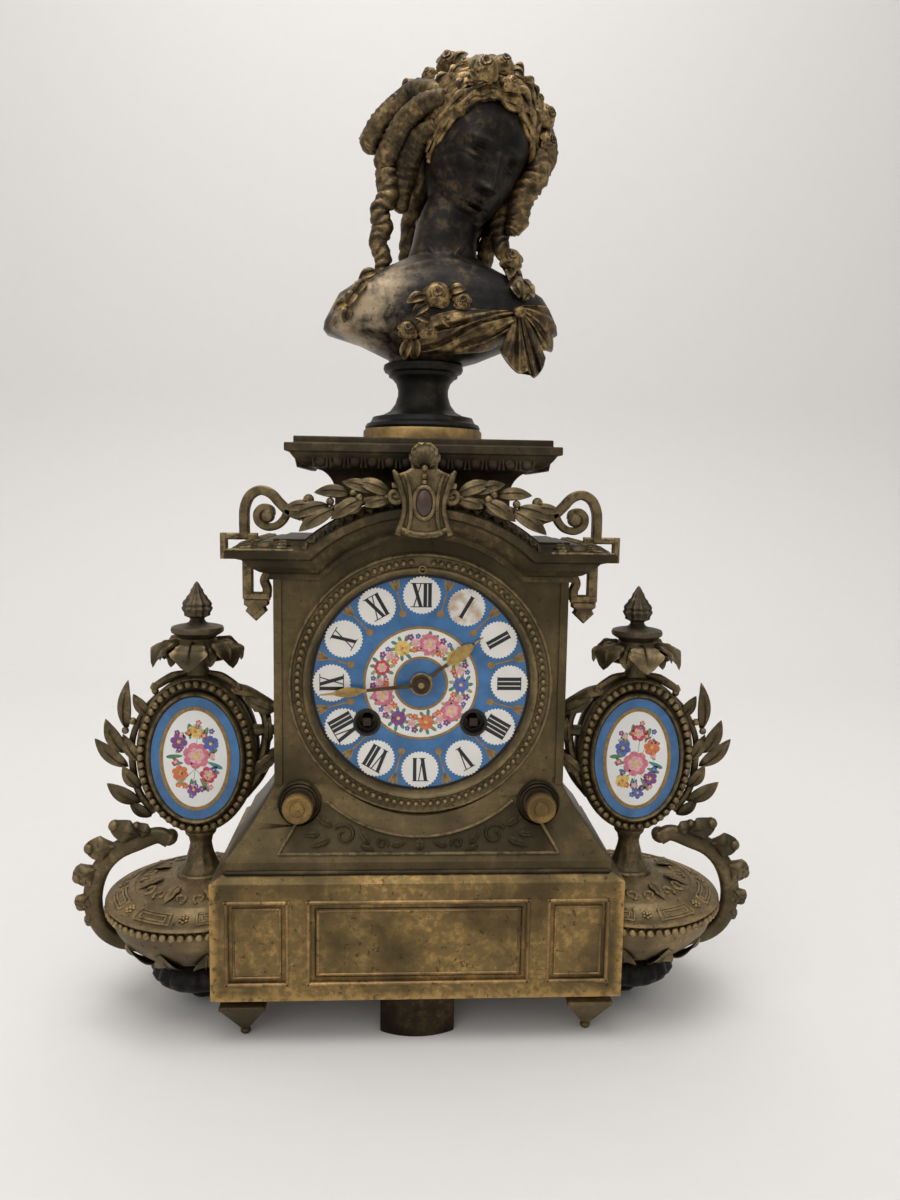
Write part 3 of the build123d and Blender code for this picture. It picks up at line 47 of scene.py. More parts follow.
# spot in metres from millimetres
def place(x, y, z):
    return Vector((x, y, z)) * mm


# angles all round a circle
def allRound(count, start=0.0):
    return [tau * k / count + start for k in range(count)]


# materials

def nodeTree(name):
    mat = bpy.data.materials.new(name)
    mat.use_nodes = True
    tree = mat.node_tree
    return mat, tree, tree.nodes["Principled BSDF"]


def noiseNode(tree, scale, detail=4.0, rough=0.6):
    coord = tree.nodes.new("ShaderNodeTexCoord")
    node = tree.nodes.new("ShaderNodeTexNoise")
    node.inputs["Scale"].default_value = scale
    node.inputs["Detail"].default_value = detail
    node.inputs["Roughness"].default_value = rough
    tree.links.new(coord.outputs["Object"], node.inputs["Vector"])
    return node.outputs["Fac"]


def rampNode(tree, value, low, high, flip=False):
    node = tree.nodes.new("ShaderNodeMapRange")
    node.inputs["From Min"].default_value = low
    node.inputs["From Max"].default_value = high
    node.inputs["To Min"].default_value = 1.0 if flip else 0.0
    node.inputs["To Max"].default_value = 0.0 if flip else 1.0
    node.interpolation_type = "SMOOTHSTEP"
    tree.links.new(value, node.inputs["Value"])
    return node.outputs["Result"]


def mixNode(tree, factor, a, b):
    node = tree.nodes.new("ShaderNodeMix")
    node.data_type = "RGBA"
    for socket, value in ((node.inputs[6], a), (node.inputs[7], b)):
        if isinstance(value, tuple):
            socket.default_value = (*value, 1.0)
        else:
            tree.links.new(value, socket)
    if isinstance(factor, float):
        node.inputs[0].default_value = factor
    else:
        tree.links.new(factor, node.inputs[0])
    return node.outputs[2]


def mathNode(tree, kind, a, b):
    node = tree.nodes.new("ShaderNodeMath")
    node.operation = kind
    for socket, value in ((node.inputs[0], a), (node.inputs[1], b)):
        if isinstance(value, float):
            socket.default_value = value
        else:
            tree.links.new(value, socket)
    return node.outputs[0]


def times(tree, a, b):
    return mathNode(tree, "MULTIPLY", a, b)


# ambient occlusion, used to paint shade into the hollows
def occlusionShade(tree, reach):
    node = tree.nodes.new("ShaderNodeAmbientOcclusion")
    node.samples = 6
    node.only_local = True
    node.inputs["Distance"].default_value = reach
    return node.outputs["AO"]


def bumpNode(tree, shader, value, strength, distance):
    node = tree.nodes.new("ShaderNodeBump")
    node.inputs["Strength"].default_value = strength
    node.inputs["Distance"].default_value = distance
    tree.links.new(value, node.inputs["Height"])
    tree.links.new(node.outputs["Normal"], shader.inputs["Normal"])


def ridges(tree, low, high):
    geo = tree.nodes.new("ShaderNodeNewGeometry")
    return rampNode(tree, geo.outputs["Pointiness"], low, high)


def axisNode(tree, axis):
    coord = tree.nodes.new("ShaderNodeTexCoord")
    split = tree.nodes.new("ShaderNodeSeparateXYZ")
    tree.links.new(coord.outputs["Object"], split.inputs[0])
    return split.outputs[axis]


# distance from a place in the front plane, given in mm
def awayFrom(tree, x, z):
    squares = []
    for axis, at in (("X", x), ("Z", z)):
        off = mathNode(tree, "SUBTRACT", axisNode(tree, axis), at * mm)
        squares.append(mathNode(tree, "POWER", off, 2.0))
    return mathNode(tree, "POWER", mathNode(tree, "ADD", *squares), 0.5)


# colour laid over what a material already shows
def overPaint(mat, factor, colour):
    tree = mat.node_tree
    socket = tree.nodes["Principled BSDF"].inputs["Base Color"]
    tree.links.new(mixNode(tree, factor, socket.links[0].from_socket, colour), socket)


# wear that gathers at the outer ends and the lower edge of a block
def nearEdges(tree, edges):
    reach, ends = edges["reach"], []
    for axis, far in (("X", edges["half"]), ("Y", edges["deep"])):
        off = mathNode(tree, "ABSOLUTE", axisNode(tree, axis), 0.0)
        ends.append(rampNode(tree, off, (far - reach) * mm, far * mm))
    low = rampNode(tree, axisNode(tree, "Z"), edges["low"] * mm, (edges["low"] + reach) * mm, flip=True)
    return mathNode(tree, "MAXIMUM", times(tree, *ends), low)


# aged gilding: patches of dull and bright gold, fine speckle and blots of dirt, painted shade with grime in
# the hollows, rubbed ridges
# hollow is how far the painted shade in the hollows reaches
agedSet = {
    "mottle": 330.0, "speckle": 1500.0, "blots": 420.0, "hollow": 0.005, "bump": 0.25, "bumpTall": 0.00025,
}


def giltMaterial(name, dark, mid, bright, dirtAndShade=(0.035, 0.026, 0.014), patch=38.0, shine=0.5, rub=None,
                 metal=0.75, gloss=0.35, edges=None, sides=None):
    mat, tree, shader = nodeTree(name)
    shader.inputs["Specular IOR Level"].default_value = gloss
    broad = noiseNode(tree, patch, 5.0)
    mottle = noiseNode(tree, agedSet["mottle"], 5.0, 0.65)
    speckle = noiseNode(tree, agedSet["speckle"], 3.0)
    colour = mixNode(tree, rampNode(tree, broad, 0.36, 0.62), dark, mid)
    glint = times(tree, rampNode(tree, mottle, 0.42, 0.72), rampNode(tree, broad, 0.4, 0.68))
    colour = mixNode(tree, glint, colour, bright)
    if rub:
        worn = times(tree, ridges(tree, *rub), rampNode(tree, mottle, 0.34, 0.6))
        colour = mixNode(tree, worn, colour, bright)
    if edges:
        worn = times(tree, nearEdges(tree, edges), rampNode(tree, mottle, 0.3, 0.58))
        colour = mixNode(tree, worn, colour, bright)
    if sides:
        reach = rampNode(tree, axisNode(tree, "X"), sides[0] * mm, sides[1] * mm)
        fine = times(tree, rampNode(tree, mottle, 0.4, 0.66), 0.35)
        cast = times(tree, reach, mathNode(tree, "ADD", rampNode(tree, broad, 0.4, 0.6), fine))
        colour = mixNode(tree, cast, colour, sides[2])
    stain = rampNode(tree, speckle, 0.58, 0.74)
    blots = rampNode(tree, noiseNode(tree, agedSet["blots"], 2.0), 0.63, 0.71)
    # hollows darkened through ambient occlusion: painted shade, mixed with grime
    deep = rampNode(tree, occlusionShade(tree, agedSet["hollow"]), 0.25, 0.85, flip=True)
    for dirt, share in ((stain, 0.55), (blots, 0.65), (deep, 0.85)):
        colour = mixNode(tree, times(tree, dirt, share), colour, dirtAndShade)
    tree.links.new(colour, shader.inputs["Base Color"])
    shader.inputs["Metallic"].default_value = metal
    rough = tree.nodes.new("ShaderNodeMapRange")
    rough.inputs["To Min"].default_value = shine - 0.1
    rough.inputs["To Max"].default_value = shine + 0.18
    tree.links.new(mottle, rough.inputs["Value"])
    tree.links.new(rough.outputs["Result"], shader.inputs["Roughness"])
    bumpNode(tree, shader, mathNode(tree, "ADD", speckle, mottle), agedSet["bump"], agedSet["bumpTall"])
    return mat


# plain coat with a slight drift of tone, used for paint, glaze and bright metal
def coatMaterial(name, colour, rough, metal=0.0, drift=0.12, scale=90.0):
    mat, tree, shader = nodeTree(name)
    tone = rampNode(tree, noiseNode(tree, scale), 0.3, 0.7)
    darker = tuple(c * (1.0 - drift) for c in colour)
    tree.links.new(mixNode(tree, tone, darker, colour), shader.inputs["Base Color"])
    shader.inputs["Roughness"].default_value = rough
    shader.inputs["Metallic"].default_value = metal
    return mat


gilt = giltMaterial("gilt", (0.038, 0.028, 0.015), (0.078, 0.057, 0.029), (0.2, 0.136, 0.062))
giltCase = giltMaterial("giltCase", (0.07, 0.051, 0.024), (0.135, 0.099, 0.046), (0.23, 0.16, 0.07),
                        patch=22.0)
# painted shade under the cornice: the case darkens towards its top; and a darker ground between the apron's
# arc and foot line
tree = giltCase.node_tree
offX = mathNode(tree, "ABSOLUTE", axisNode(tree, "X"), 0.0)
offY, high = axisNode(tree, "Y"), axisNode(tree, "Z")
overPaint(giltCase, times(tree, rampNode(tree, high, 0.155, 0.19), 0.6), (0.02, 0.015, 0.009))
ground = rampNode(tree, awayFrom(tree, 0.0, dialAxis), 0.0568, 0.0574)
for value, low, far, flip in ((high, 0.0736, 0.0742, False), (high, 0.09, 0.093, True),
                              (offX, 0.047, 0.052, True), (offY, -0.026, -0.024, True)):
    ground = times(tree, ground, rampNode(tree, value, low, far, flip))
overPaint(giltCase, times(tree, ground, 0.62), (0.026, 0.019, 0.011))
baseEdges = {"half": 78.0, "deep": 42.0, "low": 18.0, "reach": 4.5}
giltBase = giltMaterial("giltBase", (0.09, 0.063, 0.027), (0.205, 0.138, 0.053), (0.5, 0.31, 0.11),
                        patch=30.0, shine=0.46, edges=baseEdges)
giltEdge = giltMaterial("giltEdge", (0.12, 0.08, 0.036), (0.27, 0.17, 0.07), (0.55, 0.33, 0.13), patch=34.0,
                        shine=0.44)
giltPanel = giltMaterial("giltPanel", (0.08, 0.062, 0.036), (0.22, 0.158, 0.072), (0.48, 0.345, 0.15),
                         patch=34.0)
footBrown = giltMaterial("footBrown", (0.017, 0.012, 0.006), (0.045, 0.031, 0.016), (0.12, 0.078, 0.034),
                         patch=60.0, gloss=0.2)
giltDull = giltMaterial("giltDull", (0.036, 0.027, 0.017), (0.074, 0.055, 0.032), (0.15, 0.108, 0.055))
giltOrnament = giltMaterial("giltOrnament", (0.066, 0.049, 0.026), (0.128, 0.096, 0.05),
                            (0.3, 0.215, 0.105), rub=(0.52, 0.6))
giltBowl = giltMaterial("giltBowl", (0.13, 0.096, 0.05), (0.24, 0.175, 0.09), (0.42, 0.29, 0.135),
                        rub=(0.53, 0.62))
patina = giltMaterial("patina", (0.006, 0.0055, 0.005), (0.017, 0.014, 0.011), (0.11, 0.075, 0.04),
                      dirtAndShade=(0.003, 0.0025, 0.002), patch=48.0, shine=0.36, metal=0.5, gloss=0.22)
skinRubbed = giltMaterial("skinRubbed", (0.006, 0.0055, 0.005), (0.016, 0.0135, 0.011),
                          (0.095, 0.066, 0.037), dirtAndShade=(0.004, 0.003, 0.003), patch=48.0, shine=0.38,
                          metal=0.5, gloss=0.25, sides=(4.0, -26.0, (0.4, 0.305, 0.195)))
patinaGold = giltMaterial("patinaGold", (0.025, 0.018, 0.011), (0.098, 0.067, 0.032), (0.5, 0.33, 0.135),
                          dirtAndShade=(0.006, 0.005, 0.004), patch=90.0, shine=0.42, rub=(0.5, 0.6), metal=0.65)
socleDark = giltMaterial("socleDark", (0.008, 0.008, 0.007), (0.018, 0.017, 0.014), (0.06, 0.043, 0.024),
                         dirtAndShade=(0.004, 0.004, 0.003), patch=50.0, shine=0.42, metal=0.5, gloss=0.2)
footBlack = giltMaterial("footBlack", (0.005, 0.0045, 0.004), (0.008, 0.007, 0.006), (0.034, 0.026, 0.015),
                         dirtAndShade=(0.003, 0.003, 0.002), shine=0.42, metal=0.4, gloss=0.25)
brass = giltMaterial("brass", (0.3, 0.21, 0.09), (0.45, 0.33, 0.15), (0.6, 0.45, 0.22), patch=60.0,
                     shine=0.36, metal=0.95)
steel = coatMaterial("steel", (0.32, 0.32, 0.33), 0.35, 0.95)
handDark = coatMaterial("handDark", (0.045, 0.031, 0.018), 0.45, 0.6, 0.3, 400.0)
ferrule = coatMaterial("ferrule", (0.026, 0.021, 0.016), 0.5, 0.5, 0.3, 400.0)


# hand in dark bronze with gold from one distance to another off the dial's middle
def handMaterial(name, gold):
    mat, tree, shader = nodeTree(name)
    out = awayFrom(tree, 0.0, dialAxis)
    worn = rampNode(tree, noiseNode(tree, 420.0), 0.3, 0.7)
    colour = mixNode(tree, worn, (0.05, 0.033, 0.016), (0.12, 0.078, 0.034))
    bright = mixNode(tree, worn, (0.26, 0.165, 0.055), (0.5, 0.33, 0.11))
    for low, far in gold:
        inside = times(tree, rampNode(tree, out, (low - 0.3) * mm, (low + 0.3) * mm),
                       rampNode(tree, out, (far - 0.3) * mm, (far + 0.3) * mm, flip=True))
        colour = mixNode(tree, inside, colour, bright)
    tree.links.new(colour, shader.inputs["Base Color"])
    shader.inputs["Metallic"].default_value = 0.7
    shader.inputs["Roughness"].default_value = 0.4
    return mat


hourTone = handMaterial("hourTone", [(3.6, 4.6), (12.5, 60.0)])
minuteTone = handMaterial("minuteTone", [(20.6, 60.0)])
porcelain = coatMaterial("porcelain", (0.8, 0.79, 0.76), 0.14, 0.0, 0.05, 60.0)
blueGlaze = coatMaterial("blueGlaze", (0.048, 0.17, 0.385), 0.16, 0.0, 0.35, 120.0)
goldLine = coatMaterial("goldLine", (0.36, 0.22, 0.075), 0.35, 0.45, 0.35, 500.0)
ink = coatMaterial("ink", (0.008, 0.008, 0.01), 0.3)

# CAD nodes that stay in view take these, and the others brass
nodeMaterials = {
    "base_plinth": giltBase, "centre_foot": footBrown, "case_shell": giltCase, "cornice": gilt,
    "bust_plinth": giltDull, "bust_rod": steel, "plaque_left": blueGlaze, "plaque_right": blueGlaze,
    "dial": blueGlaze, "hour_hand": hourTone, "minute_hand": minuteTone, "hand_nut": handDark,
    "winding_eyelets": ferrule, "going_arbor": handDark, "strike_arbor": handDark, "regulator_arbor": steel,
    "anchor": steel, "hammer": steel, "movement_straps": steel, "dial_pan": ferrule,
}
for nodeName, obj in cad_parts.items():
    obj.data.materials.clear()
    obj.data.materials.append(nodeMaterials.get(nodeName, brass))

# edges of the plain castings are softened
softEdges = {
    "base_plinth": 0.7, "centre_foot": 0.6, "case_shell": 0.4, "cornice": 0.35, "bust_plinth": 0.4,
    "rear_door": 0.3, "rear_bezel": 0.3, "hour_hand": 0.15, "minute_hand": 0.15,
}


def softEdge(obj, width, angle=32):
    bevel = obj.modifiers.new("softEdge", "BEVEL")
    bevel.width = width * mm
    bevel.segments = 2
    bevel.limit_method = "ANGLE"
    bevel.angle_limit = radians(angle)


for nodeName, width in softEdges.items():
    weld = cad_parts[nodeName].modifiers.new("weld", "WELD")
    weld.merge_threshold = 0.00001
    softEdge(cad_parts[nodeName], width)
print("materials ready")


# shape helpers: a piece is a bag of closed shells that becomes one mesh;
# spots come from place, every other measure is in mm

def newPiece():
    return {"v": [], "f": [], "m": []}


def addRings(piece, rings, mat=0, loop=False):
    rows = []
    for ring in rings:
        base = len(piece["v"])
        piece["v"] += [tuple(p) for p in ring]
        rows.append(list(range(base, base + len(ring))))
    pairs = list(zip(rows, rows[1:])) + ([(rows[-1], rows[0])] if loop else [])
    for a, b in pairs:
        count = max(len(a), len(b))
        for i in range(count):
            j = (i + 1) % count
            if len(a) == 1:
                face = (a[0], b[j], b[i])
            elif len(b) == 1:
                face = (a[i], a[j], b[0])
            else:
                face = (a[i], a[j], b[j], b[i])
            piece["f"].append(face)
            piece["m"].append(mat)
    if not loop:
        for row in (rows[0][::-1], rows[-1]):
            if len(row) > 2:
                piece["f"].append(tuple(row))
                piece["m"].append(mat)


def makePiece(name, piece, mats, body="case", nodes=(), sharp=38):
    mesh = bpy.data.meshes.new(name)
    mesh.from_pydata(piece["v"], [], piece["f"])
    for mat in mats:
        mesh.materials.append(mat)
    mesh.polygons.foreach_set("material_index", piece["m"])
    bm = bmesh.new()
    bm.from_mesh(mesh)
    bmesh.ops.recalc_face_normals(bm, faces=bm.faces)
    for face in bm.faces:
        face.smooth = True
    bm.to_mesh(mesh)
    bm.free()
    mesh.set_sharp_from_angle(angle=radians(sharp))
    obj = bpy.data.objects.new(name, mesh)
    bpy.context.collection.objects.link(obj)
    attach(obj, body)
    for node in nodes:
        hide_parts(node)
    return obj


# frame with z along facing, x level
def facingFrame(facing):
    z = Vector(facing).normalized()
    x = Vector((0, 0, 1)).cross(z)
    if x.length < 1e-4:
        x = Vector((1, 0, 0))
    x.normalize()
    return Matrix((x, z.cross(x), z)).transposed()


def mirrorPiece(piece):
    twin = newPiece()
    twin["v"] = [(-x, y, z) for x, y, z in piece["v"]]
    twin["f"] = [tuple(reversed(f)) for f in piece["f"]]
    twin["m"] = list(piece["m"])
    return twin


def joinPieces(*pieces):
    whole = newPiece()
    for piece in pieces:
        base = len(whole["v"])
        whole["v"] += piece["v"]
        whole["f"] += [tuple(i + base for i in f) for f in piece["f"]]
        whole["m"] += piece["m"]
    return whole


# smooth line through points in space
def curveThrough(points, steps):
    pts = [Vector(p) for p in points]
    pts = [2 * pts[0] - pts[1]] + pts + [2 * pts[-1] - pts[-2]]
    line = []
    spans = len(pts) - 3
    for k in range(steps + 1):
        s = k / steps * spans
        i = min(int(s), spans - 1)
        t = s - i
        a, b, c, d = pts[i:i + 4]
        second, third = 2 * a - 5 * b + 4 * c - d, 3 * b - a - 3 * c + d
        line.append(0.5 * (2 * b + (c - a) * t + second * t * t + third * t ** 3))
    return line


def valueAlong(values, t):
    s = t * (len(values) - 1)
    i = min(int(s), len(values) - 2)
    return values[i] + (values[i + 1] - values[i]) * (s - i)


def wayAt(line, i):
    return (line[min(i + 1, len(line) - 1)] - line[max(i - 1, 0)]).normalized()


# swept tube; radii run along it, flat squeezes it across the side direction, wave shapes its skin
def addTube(piece, points, radii, sides=10, steps=None, side=(0, -1, 0), flat=1.0, wave=None):
    line = curveThrough(points, steps) if steps else [Vector(p) for p in points]
    rings = []
    for i, spot in enumerate(line):
        way = wayAt(line, i)
        across = way.cross(Vector(side))
        if across.length < 1e-4:
            across = way.cross(Vector((1, 0, 0.2)))
        across.normalize()
        up = across.cross(way)
        t = i / (len(line) - 1)
        ring = []
        for a in allRound(sides):
            r = valueAlong(radii, t) * mm * (wave(t, a) if wave else 1.0)
            ring.append(spot + (across * cos(a) + up * sin(a) * flat) * r)
        rings.append(ring)
    addRings(piece, rings)


# square-edged band swept along a line in the front plane
def addBand(piece, points, width, y0, y1, steps=None, ease=0.5):
    line = [Vector((p[0], 0, p[1])) for p in points]
    if steps:
        line = curveThrough(line, steps)
    h, e = width / 2, ease
    section = [(-h, y1), (-h, y0 + e), (-h + e, y0), (h - e, y0), (h, y0 + e), (h, y1)]
    rings = []
    for i, spot in enumerate(line):
        way = wayAt(line, i)
        across = Vector((way.z, 0, -way.x))
        rings.append([((spot + across * s).x * mm, y * mm, (spot + across * s).z * mm) for s, y in section])
    addRings(piece, rings)


# leaf from root to tip, dished, with a raised rib and optional lobes on its edge
def addLeaf(piece, root, tip, width, thick, facing=(0, -1, 0), curl=0.15, lobes=0, rib=0.35, full=0.75):
    root, tip = Vector(root), Vector(tip)
    way = tip - root
    length = way.length
    way.normalize()
    up = Vector(facing)
    up = (up - way * up.dot(way)).normalized()
    across = way.cross(up)
    rows, cuts = 14, (-1.0, -0.72, -0.35, -0.08, 0.0, 0.08, 0.35, 0.72, 1.0)
    rings = [[root]]
    for i in range(1, rows):
        u = i / rows
        w = width * mm / 2 * sin(pi * u ** full) ** 0.75
        if lobes:
            w *= 1.0 - 0.22 * abs(sin(pi * lobes * u))
        lift = curl * length * sin(pi * u * 0.9)
        mid = root + way * length * u + up * lift
        body = thick * mm * sin(pi * min(1.0, u * 1.15 + 0.08)) ** 0.5
        top, under = [], []
        for s in cuts:
            dish = 0.28 * w * s * s
            swell = body * (1.0 - 0.75 * s * s) + (rib * body if s == 0 else 0.0)
            if lobes:
                swell += 0.18 * body * cos(tau * lobes * u + 2.0 * abs(s))
            top.append(mid + across * w * s + up * (swell + dish))
            under.append(mid + across * w * s * 0.98 + up * (dish - body * 0.4))
        rings.append(top + under[::-1])
    rings.append([root + way * length + up * (curl * length * sin(pi * 0.9))])
    addRings(piece, rings)


# several leaves of one look; where turns their ends into spots
def addLeaves(piece, leaves, where, thick, **look):
    for root, tip, wide in leaves:
        addLeaf(piece, where(*root), where(*tip), wide, thick, **look)


# ball or egg, size is its half or three of them
def addBall(piece, spot, size, facing=(0, 0, 1), sides=10, rows=6):
    half = [s * mm for s in (size if isinstance(size, tuple) else (size,) * 3)]
    turn = facingFrame(facing)
    rings = []
    for i in range(rows + 1):
        a = pi * i / rows
        out, up = sin(a), -cos(a) * half[2]
        ring = []
        for b in allRound(sides) if 0 < i < rows else [0.0]:
            p = Vector((out * cos(b) * half[0], out * sin(b) * half[1], up))
            ring.append(Vector(spot) + turn @ p)
        rings.append(ring)
    addRings(piece, rings)


# opened rose: wound heart inside a ring of cupped petals
def addRose(piece, spot, radius, facing=(0, -1, 0)):
    turn = facingFrame(facing)
    spot = Vector(spot)
    addBall(piece, spot, (radius * 0.88, radius * 0.88, radius * 0.5), facing=facing, sides=16, rows=8)
    for out, lift, lean, size, start in ((0.6, 0.12, 0.55, 0.6, 0.2), (0.46, 0.3, 0.85, 0.52, 0.83)):
        for a in allRound(5, start):
            ray = Vector((cos(a), sin(a), 0))
            normal = ray * sin(lean) + Vector((0, 0, cos(lean)))
            petal = spot + turn @ (ray * out + Vector((0, 0, lift))) * radius * mm
            addBall(piece, petal, (radius * size, radius * size * 0.72, radius * 0.13),
                    facing=turn @ normal, sides=14)
    heart = []
    for i in range(13):
        polar = pi * 0.62 * i / 12
        ring = []
        for a in allRound(26) if i else [0.0]:
            wound = (polar / 0.5 + a / tau) % 1.0
            r = radius * 0.5 * (1.0 + 0.3 * (wound - 0.5))
            out, up = r * sin(polar), radius * 0.36 + r * 0.9 * cos(polar)
            ring.append(spot + turn @ Vector((out * cos(a), out * sin(a), up)) * mm)
        heart.append(ring)
    addRings(piece, heart[::-1])


# turned shape; profile of (radius, height), wave(radius, height, angle) shapes the skin
def addTurned(piece, profile, spot, axis=(0, 0, 1), sides=48, mat=0, wave=None):
    turn = facingFrame(axis) if axis != (0, 0, 1) else Matrix.Identity(3)
    rings = []
    for r, h in profile:
        ring = []
        for a in allRound(sides) if r >= 0.01 else [0.0]:
            rr, hh = wave(r, h, a) if wave and r >= 0.01 else (r, h)
            ring.append(place(*spot) + turn @ Vector((rr * cos(a), rr * sin(a), hh)) * mm)
        rings.append(ring)
    addRings(piece, rings, mat)


# closed moulding carried round an oval; section of (outward, y)
def addOvalRing(piece, spot, half, tall, section, sides=72):
    rings = []
    for a in allRound(sides):
        nx, nz = cos(a) / half, sin(a) / tall
        size = hypot(nx, nz)
        nx, nz = nx / size, nz / size
        x, z = spot[0] + half * cos(a), spot[1] + tall * sin(a)
        rings.append([((x + nx * o) * mm, y * mm, (z + nz * o) * mm) for o, y in section])
    addRings(piece, rings, loop=True)


# flat plate with an eased front edge, outline of (x, z)
def addPlate(piece, outline, y0, y1, ease, mat=0):
    count = len(outline)
    area = sum(outline[i - 1][0] * outline[i][1] - outline[i][0] * outline[i - 1][1] for i in range(count))
    inner = []
    for i in range(count):
        a, b, c = Vector(outline[i - 1]), Vector(outline[i]), Vector(outline[(i + 1) % count])
        n1 = Vector(((b - a).y, -(b - a).x)).normalized()
        n2 = Vector(((c - b).y, -(c - b).x)).normalized()
        n = n1 + n2
        if n.length < 1e-6:
            n = n1
        n = n.normalized() * (-ease if area > 0 else ease)
        inner.append(b + n)
    steps = ((outline, y1), (outline, y0 + ease), (inner, y0))
    addRings(piece, [[(x * mm, y * mm, z * mm) for x, z in line] for line, y in steps], mat)


# evenly spaced points round an oval
def ovalSpots(spot, half, tall, gap, count=720):
    fine = [(spot[0] + half * cos(a), spot[1] + tall * sin(a)) for a in allRound(count)]
    lengths = [dist(fine[k], fine[(k + 1) % count]) for k in range(count)]
    wanted = round(sum(lengths) / gap)
    step = sum(lengths) / wanted
    spots, walked, nextAt = [], 0.0, 0.0
    for k in range(count):
        if walked >= nextAt and len(spots) < wanted:
            spots.append(fine[k])
            nextAt += step
        walked += lengths[k]
    return spots


# dial: pinked roundels with numerals, gold drops, flower ring

dialSet = {
    "z": dialAxis, "y": -26.0, "roundel": 7.05, "circle": 33.8, "teeth": 34, "tooth": 0.28, "tall": 8.9,
    "thick": 1.35, "thin": 0.42, "word": 9.6, "ringOut": 21.1, "ringIn": 10.3, "gold": 0.85, "proud": 0.16,
    "rim": (40.7, 41.7),
}
dz = dialSet["z"]


def onDial(angle, out, side=0.0):
    a = radians(angle)
    return (out * sin(a) + side * cos(a), dz + out * cos(a) - side * sin(a))


def addFlat(piece, outline, y, thick, mat=0):
    addRings(piece, [[(x * mm, yy * mm, z * mm) for x, z in outline] for yy in (y, y - thick)], mat)


def disc(centre, radius, sides=24, teeth=0, tooth=0.0):
    spots = []
    for a in allRound(teeth * 4 if teeth else sides):
        r = radius + (tooth * cos(teeth * a) if teeth else 0.0)
        spots.append((centre[0] + r * cos(a), centre[1] + r * sin(a)))
    return spots


def flatRing(piece, inner, outer, y, thick, mat=0):
    section = [(inner, y), (outer, y), (outer, y - thick), (inner, y - thick)]
    rings = []
    for a in allRound(120):
        rings.append([(r * cos(a) * mm, yy * mm, (dz + r * sin(a)) * mm) for r, yy in section])
    addRings(piece, rings, mat, loop=True)


def stroke(angle, a, b, width):
    return [onDial(angle, a[1], a[0] - width / 2), onDial(angle, a[1], a[0] + width / 2),
            onDial(angle, b[1], b[0] + width / 2), onDial(angle, b[1], b[0] - width / 2)]


def petalShape(centre, angle, long, wide):
    spots = []
    c, s = cos(angle), sin(angle)
    for a in allRound(12):
        u = long / 2 + long / 2 * cos(a)
        w = wide / 2 * sin(a) * (0.55 + 0.45 * u / long)
        spots.append((centre[0] + u * c - w * s, centre[1] + u * s + w * c))
    return spots


numerals = ["XII", "I", "II", "III", "IIII", "V", "VI", "VII", "VIII", "IX", "X", "XI"]
letterWide = {"I": 1.75, "V": 4.0, "X": 4.2}
# strokes as foot and head in shares of the letter's width, and whether they are bold
letterStrokes = {
    "I": [(0.0, 0.0, True)], "V": [(0.0, -0.34, True), (0.0, 0.34, False)],
    "X": [(0.32, -0.32, True), (-0.32, 0.32, False)],
}
whites, letters, drops = newPiece(), newPiece(), newPiece()
faceY = dialSet["y"]
for hour, word in enumerate(numerals):
    angle = hour * 30.0
    centre = onDial(angle, dialSet["circle"])
    addFlat(whites, disc(centre, dialSet["roundel"], 0, dialSet["teeth"], dialSet["tooth"]), faceY + 0.2,
            0.2 + dialSet["proud"])
    total = sum(letterWide[c] for c in word)
    squeeze = min(1.0, dialSet["word"] / total)
    low, high = dialSet["circle"] - dialSet["tall"] / 2, dialSet["circle"] + dialSet["tall"] / 2
    inkY = faceY - dialSet["proud"] + 0.05
    at = -total * squeeze / 2
    for c in word:
        w = letterWide[c] * squeeze
        mid = at + w / 2
        thick = dialSet["thick"] * (0.82 if squeeze < 1 else 1.0)
        for foot, head, bold in letterStrokes[c]:
            pen, proud = (thick, 0.12) if bold else (dialSet["thin"], 0.13)
            addFlat(letters, stroke(angle, (mid + w * foot, low), (mid + w * head, high), pen), inkY, proud)
        for end in (low, high):
            half = w * (0.5 if c == "I" else 0.62 if (c == "X" or end == high) else 0.3)
            addFlat(letters, stroke(angle, (mid, end - 0.16), (mid, end + 0.16), 2 * half), inkY, 0.11)
        at += w
    # gold trefoil at the rim, its thin stem and the ball at the inner end
    gap = angle + 15.0
    for side, lean in ((-1.5, -0.55), (0.0, 0.0), (1.5, 0.55)):
        tip = onDial(gap, 40.4 - abs(side) * 0.3, side)
        root = onDial(gap, 36.6, side * 0.15)
        way = atan2(tip[1] - root[1], tip[0] - root[0])
        addFlat(drops, petalShape(root, way, 4.2, 1.5), faceY + 0.1, 0.2)
    addFlat(drops, stroke(gap, (0.0, 37.0), (0.0, 29.0), 0.55), faceY + 0.1, 0.2)
    addFlat(drops, disc(onDial(gap, 27.6, 0.0), 1.35, 16), faceY + 0.1, 0.2)
flatRing(whites, dialSet["ringIn"], dialSet["ringOut"], faceY + 0.2, 0.2 + dialSet["proud"] * 0.6)
for inner, outer in ((dialSet["ringOut"] - 0.1, dialSet["ringOut"] + dialSet["gold"]),
                     (dialSet["ringIn"] - dialSet["gold"], dialSet["ringIn"] + 0.1)):
    flatRing(drops, inner, outer, faceY + 0.15, 0.15 + dialSet["proud"])
